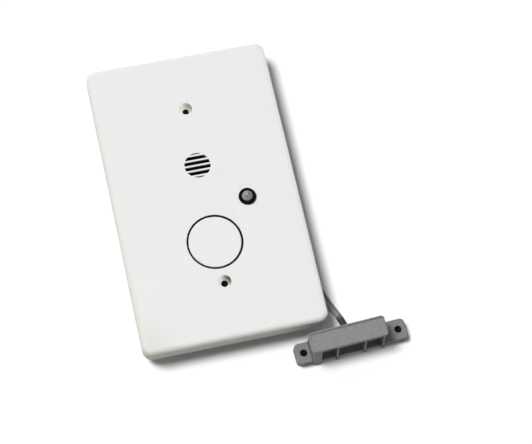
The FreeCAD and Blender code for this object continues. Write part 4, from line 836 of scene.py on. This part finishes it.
class DOORALARM_OT_light(bpy.types.Operator):
    """Finishes the clear light"""

    bl_idname = "door_alarm.light"
    bl_label = "Light"

    def execute(self, context):
        low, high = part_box("light_lens")
        place = ((low.x + high.x) / 2, (low.y + high.y) / 2)
        lens = self.add_lens(place, low.z, high.z)
        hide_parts("light_lens")
        self.add_cup(place, high.z - 0.0042)
        return {"FINISHED"}

    def add_lens(self, place, low, high):
        """The clear body: a dome on a barrel with a flange at its foot."""
        radius, flange, flange_thick = 0.0025, 0.0029, 0.001
        centre = high - radius
        deselect_all()
        bpy.ops.mesh.primitive_uv_sphere_add(segments=64, ring_count=32, radius=radius, location=(*place, centre))
        lens = settle(bpy.context.object)
        lens.name = "light_dome"
        edit(lens)
        pick_faces(lens, lambda middle, normal: middle.z < centre)
        bpy.ops.mesh.delete(type="FACE")
        bpy.ops.mesh.select_mode(type="EDGE")
        bpy.ops.mesh.select_all(action="SELECT")
        bpy.ops.mesh.region_to_loop()
        bpy.ops.mesh.extrude_edges_move(TRANSFORM_OT_translate={"value": (0, 0, low + flange_thick - centre)})
        bpy.ops.mesh.extrude_edges_move(TRANSFORM_OT_translate={"value": (0, 0, 0)})
        bpy.ops.transform.resize(value=(flange / radius, flange / radius, 1.0),
                                 center_override=(*place, low + flange_thick))
        bpy.ops.mesh.extrude_edges_move(TRANSFORM_OT_translate={"value": (0, 0, -flange_thick)})
        bpy.ops.mesh.edge_face_add()
        bpy.ops.object.mode_set(mode="OBJECT")
        face_outwards(lens)
        smooth(lens, math.radians(35))
        clear = Finish("clear_dome").set(Roughness=0.14, IOR=1.5, Transmission_Weight=0.15, Specular_IOR_Level=0.6)
        # Painted light and shade on the dome: darker in the middle and paler towards its rim, with two painted
        # highlights
        painted_dome_light = clear.ramp(clear.distance_from(*place), 0.09, 0.25, (0.13, 0.13, 0.132), (0.4, 0.4, 0.4))
        for x, y, reach, tone in ((-0.00030, 0.00039, 0.055, 0.75), (0.00027, -0.00075, 0.05, 0.5)):
            painted_highlight = clear.ramp(clear.distance_from(place[0] + x, place[1] + y), 0.0, reach, (1,) * 3, (0,) * 3)
            painted_dome_light = clear.mix(painted_highlight, painted_dome_light, (tone,) * 3)
        clear.colour(clear.mix(clear.math("MULTIPLY", clear.noise(1400.0, 2.0), 0.25), painted_dome_light, (0.3, 0.3, 0.3)))
        lens.data.materials.append(clear.material)
        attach(lens, "root")
        return lens

    def add_cup(self, place, low):
        """The bright cup inside the lens, dished and on its post."""
        radius, height, wall, dish, post = 0.0011, 0.0012, 0.00015, 0.0006, 0.0025
        cup = turned("light_cup", place, radius, low, low + height)
        edit(cup)
        pick_faces(cup, lambda middle, normal: normal.z > 0.9)
        bpy.ops.mesh.inset(thickness=wall)
        extrude((0, 0, -dish), 0.5, (*place, low + dish))
        pick_faces(cup, lambda middle, normal: normal.z < -0.9)
        bpy.ops.mesh.inset(thickness=0.0007)
        extrude((0, 0, -post))
        bpy.ops.object.mode_set(mode="OBJECT")
        smooth(cup, math.radians(30))
        cup.data.materials.append(plated_metal("cup_plating", (0.8, 0.8, 0.78), roughness=0.2))
        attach(cup, "root")
        return cup


class DOORALARM_OT_contact(bpy.types.Operator):
    """Finishes the magnetic contact"""

    bl_idname = "door_alarm.contact"
    bl_label = "Contact"

    def execute(self, context):
        settings = finish_settings()
        dress("contact_cover", moulded_plastic("contact_plastic", settings.contact, 0.00006, variation=0.1,
                                               patches=700.0))
        dress("contact_base", moulded_plastic("foot_plastic", settings.foot, 0.00006, roughness=0.55, variation=0.1,
                                              specular=0.3, patches=700.0))
        glass = Finish("reed_glass").set(Roughness=0.05, IOR=1.5, Transmission_Weight=0.9)
        glass.colour(glass.ramp(glass.noise(600.0), 0.3, 0.7, (0.5, 0.66, 0.58), (0.6, 0.75, 0.68)))
        dress("reed_capsule", glass.material)
        return {"FINISHED"}


class DOORALARM_OT_lead(bpy.types.Operator):
    """Lays the flat twin lead from the rear housing to the contact"""

    bl_idname = "door_alarm.lead"
    bl_label = "Lead"

    def execute(self, context):
        settings = context.scene.door_alarm_lead
        jacket = lead_jacket("lead_jacket", finish_settings().jacket)
        for node in ("lead_gland", "contact_bush"):
            dress(node, jacket)
        places = lead_line()
        lead = swept_mesh("twin_lead", places, twin_section(settings.width, settings.thick, settings.groove))
        face_outwards(lead)
        smooth(lead, math.radians(50))
        lead.data.materials.append(jacket)
        # The left conductor gets the paler jacket, as painted light
        lead.data.materials.append(lead_jacket("painted_lit_jacket", finish_settings().lit))
        paint_lit_side(lead, places)
        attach(lead, "root")
        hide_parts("lead")
        relief = self.add_sleeve("gland_relief", places, settings, length=0.0048, start=1.75, end=1.2,
                                 material=jacket, rings=5)
        # The black sleeve by the contact stands in for the shade there, and its colour darkens towards the contact
        # as painted shade
        rubber = Finish("shade_sleeve_rubber").set(Roughness=0.5, Specular_IOR_Level=0.3)
        near = rubber.along(0.0478, -0.0640, (0.0, -1.0, 0.0))
        rubber.colour(rubber.ramp(near, 0.0, 0.17, (0.11,) * 3, (0.012,) * 3))
        rubber.relief(rubber.noise(4000.0, 2.0), 0.2, 0.00002)
        sleeve = self.add_sleeve("contact_shade_sleeve", places[::-1], settings, length=0.0072, start=1.16, end=1.03,
                                 material=rubber.material)
        return {"FINISHED"}

    def add_sleeve(self, name, places, settings, length, start, end, material, rings=0):
        """A sleeve that tapers along the lead from where it leaves a housing, with or without grooves. It starts and
        ends so many times as wide as the lead."""
        line = even_line(places, length, 40)
        swell = []
        for k in range(len(line)):
            share = k / (len(line) - 1)
            groove = 0.12 * max(0.0, math.sin(2 * math.pi * rings * share)) if share > 0.1 else 0.0
            swell.append(start + (end - start) * share - groove)
        sleeve = swept_mesh(name, line, twin_section(settings.width, settings.thick, 0.0), swell)
        face_outwards(sleeve)
        smooth(sleeve, math.radians(50))
        sleeve.data.materials.append(material)
        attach(sleeve, "root")
        return sleeve


class DOORALARM_PT_sidebar(bpy.types.Panel):
    """Shows the door alarm's settings and a button for each operator"""

    bl_idname = "DOORALARM_PT_sidebar"
    bl_label = "Door Alarm"
    bl_space_type = "VIEW_3D"
    bl_region_type = "UI"
    bl_category = "Door Alarm"

    def draw(self, context):
        for name in ("door_alarm_finish", "door_alarm_lead", "door_alarm_stage"):
            box = self.layout.box()
            group = getattr(context.scene, name)
            for key in group.__annotations__:
                box.prop(group, key)
        for operator in OPERATORS:
            self.layout.operator(operator.bl_idname)


OPERATORS = (
    DOORALARM_OT_stage,
    DOORALARM_OT_lead,
    DOORALARM_OT_cover,
    DOORALARM_OT_housing,
    DOORALARM_OT_board,
    DOORALARM_OT_light,
    DOORALARM_OT_contact,
)
GROUPS = (DoorAlarmFinish, DoorAlarmLead, DoorAlarmStage)


def register():
    for kind in GROUPS + OPERATORS + (DOORALARM_PT_sidebar,):
        bpy.utils.register_class(kind)
    bpy.types.Scene.door_alarm_finish = PointerProperty(type=DoorAlarmFinish)
    bpy.types.Scene.door_alarm_lead = PointerProperty(type=DoorAlarmLead)
    bpy.types.Scene.door_alarm_stage = PointerProperty(type=DoorAlarmStage)


def unregister():
    del bpy.types.Scene.door_alarm_stage
    del bpy.types.Scene.door_alarm_lead
    del bpy.types.Scene.door_alarm_finish
    for kind in reversed(GROUPS + OPERATORS + (DOORALARM_PT_sidebar,)):
        bpy.utils.unregister_class(kind)


def main():
    register()
    bpy.ops.door_alarm.stage()
    bpy.ops.door_alarm.lead()
    bpy.ops.door_alarm.cover()
    bpy.ops.door_alarm.housing()
    bpy.ops.door_alarm.board()
    bpy.ops.door_alarm.light()
    bpy.ops.door_alarm.contact()


if __name__ == "__main__":
    main()
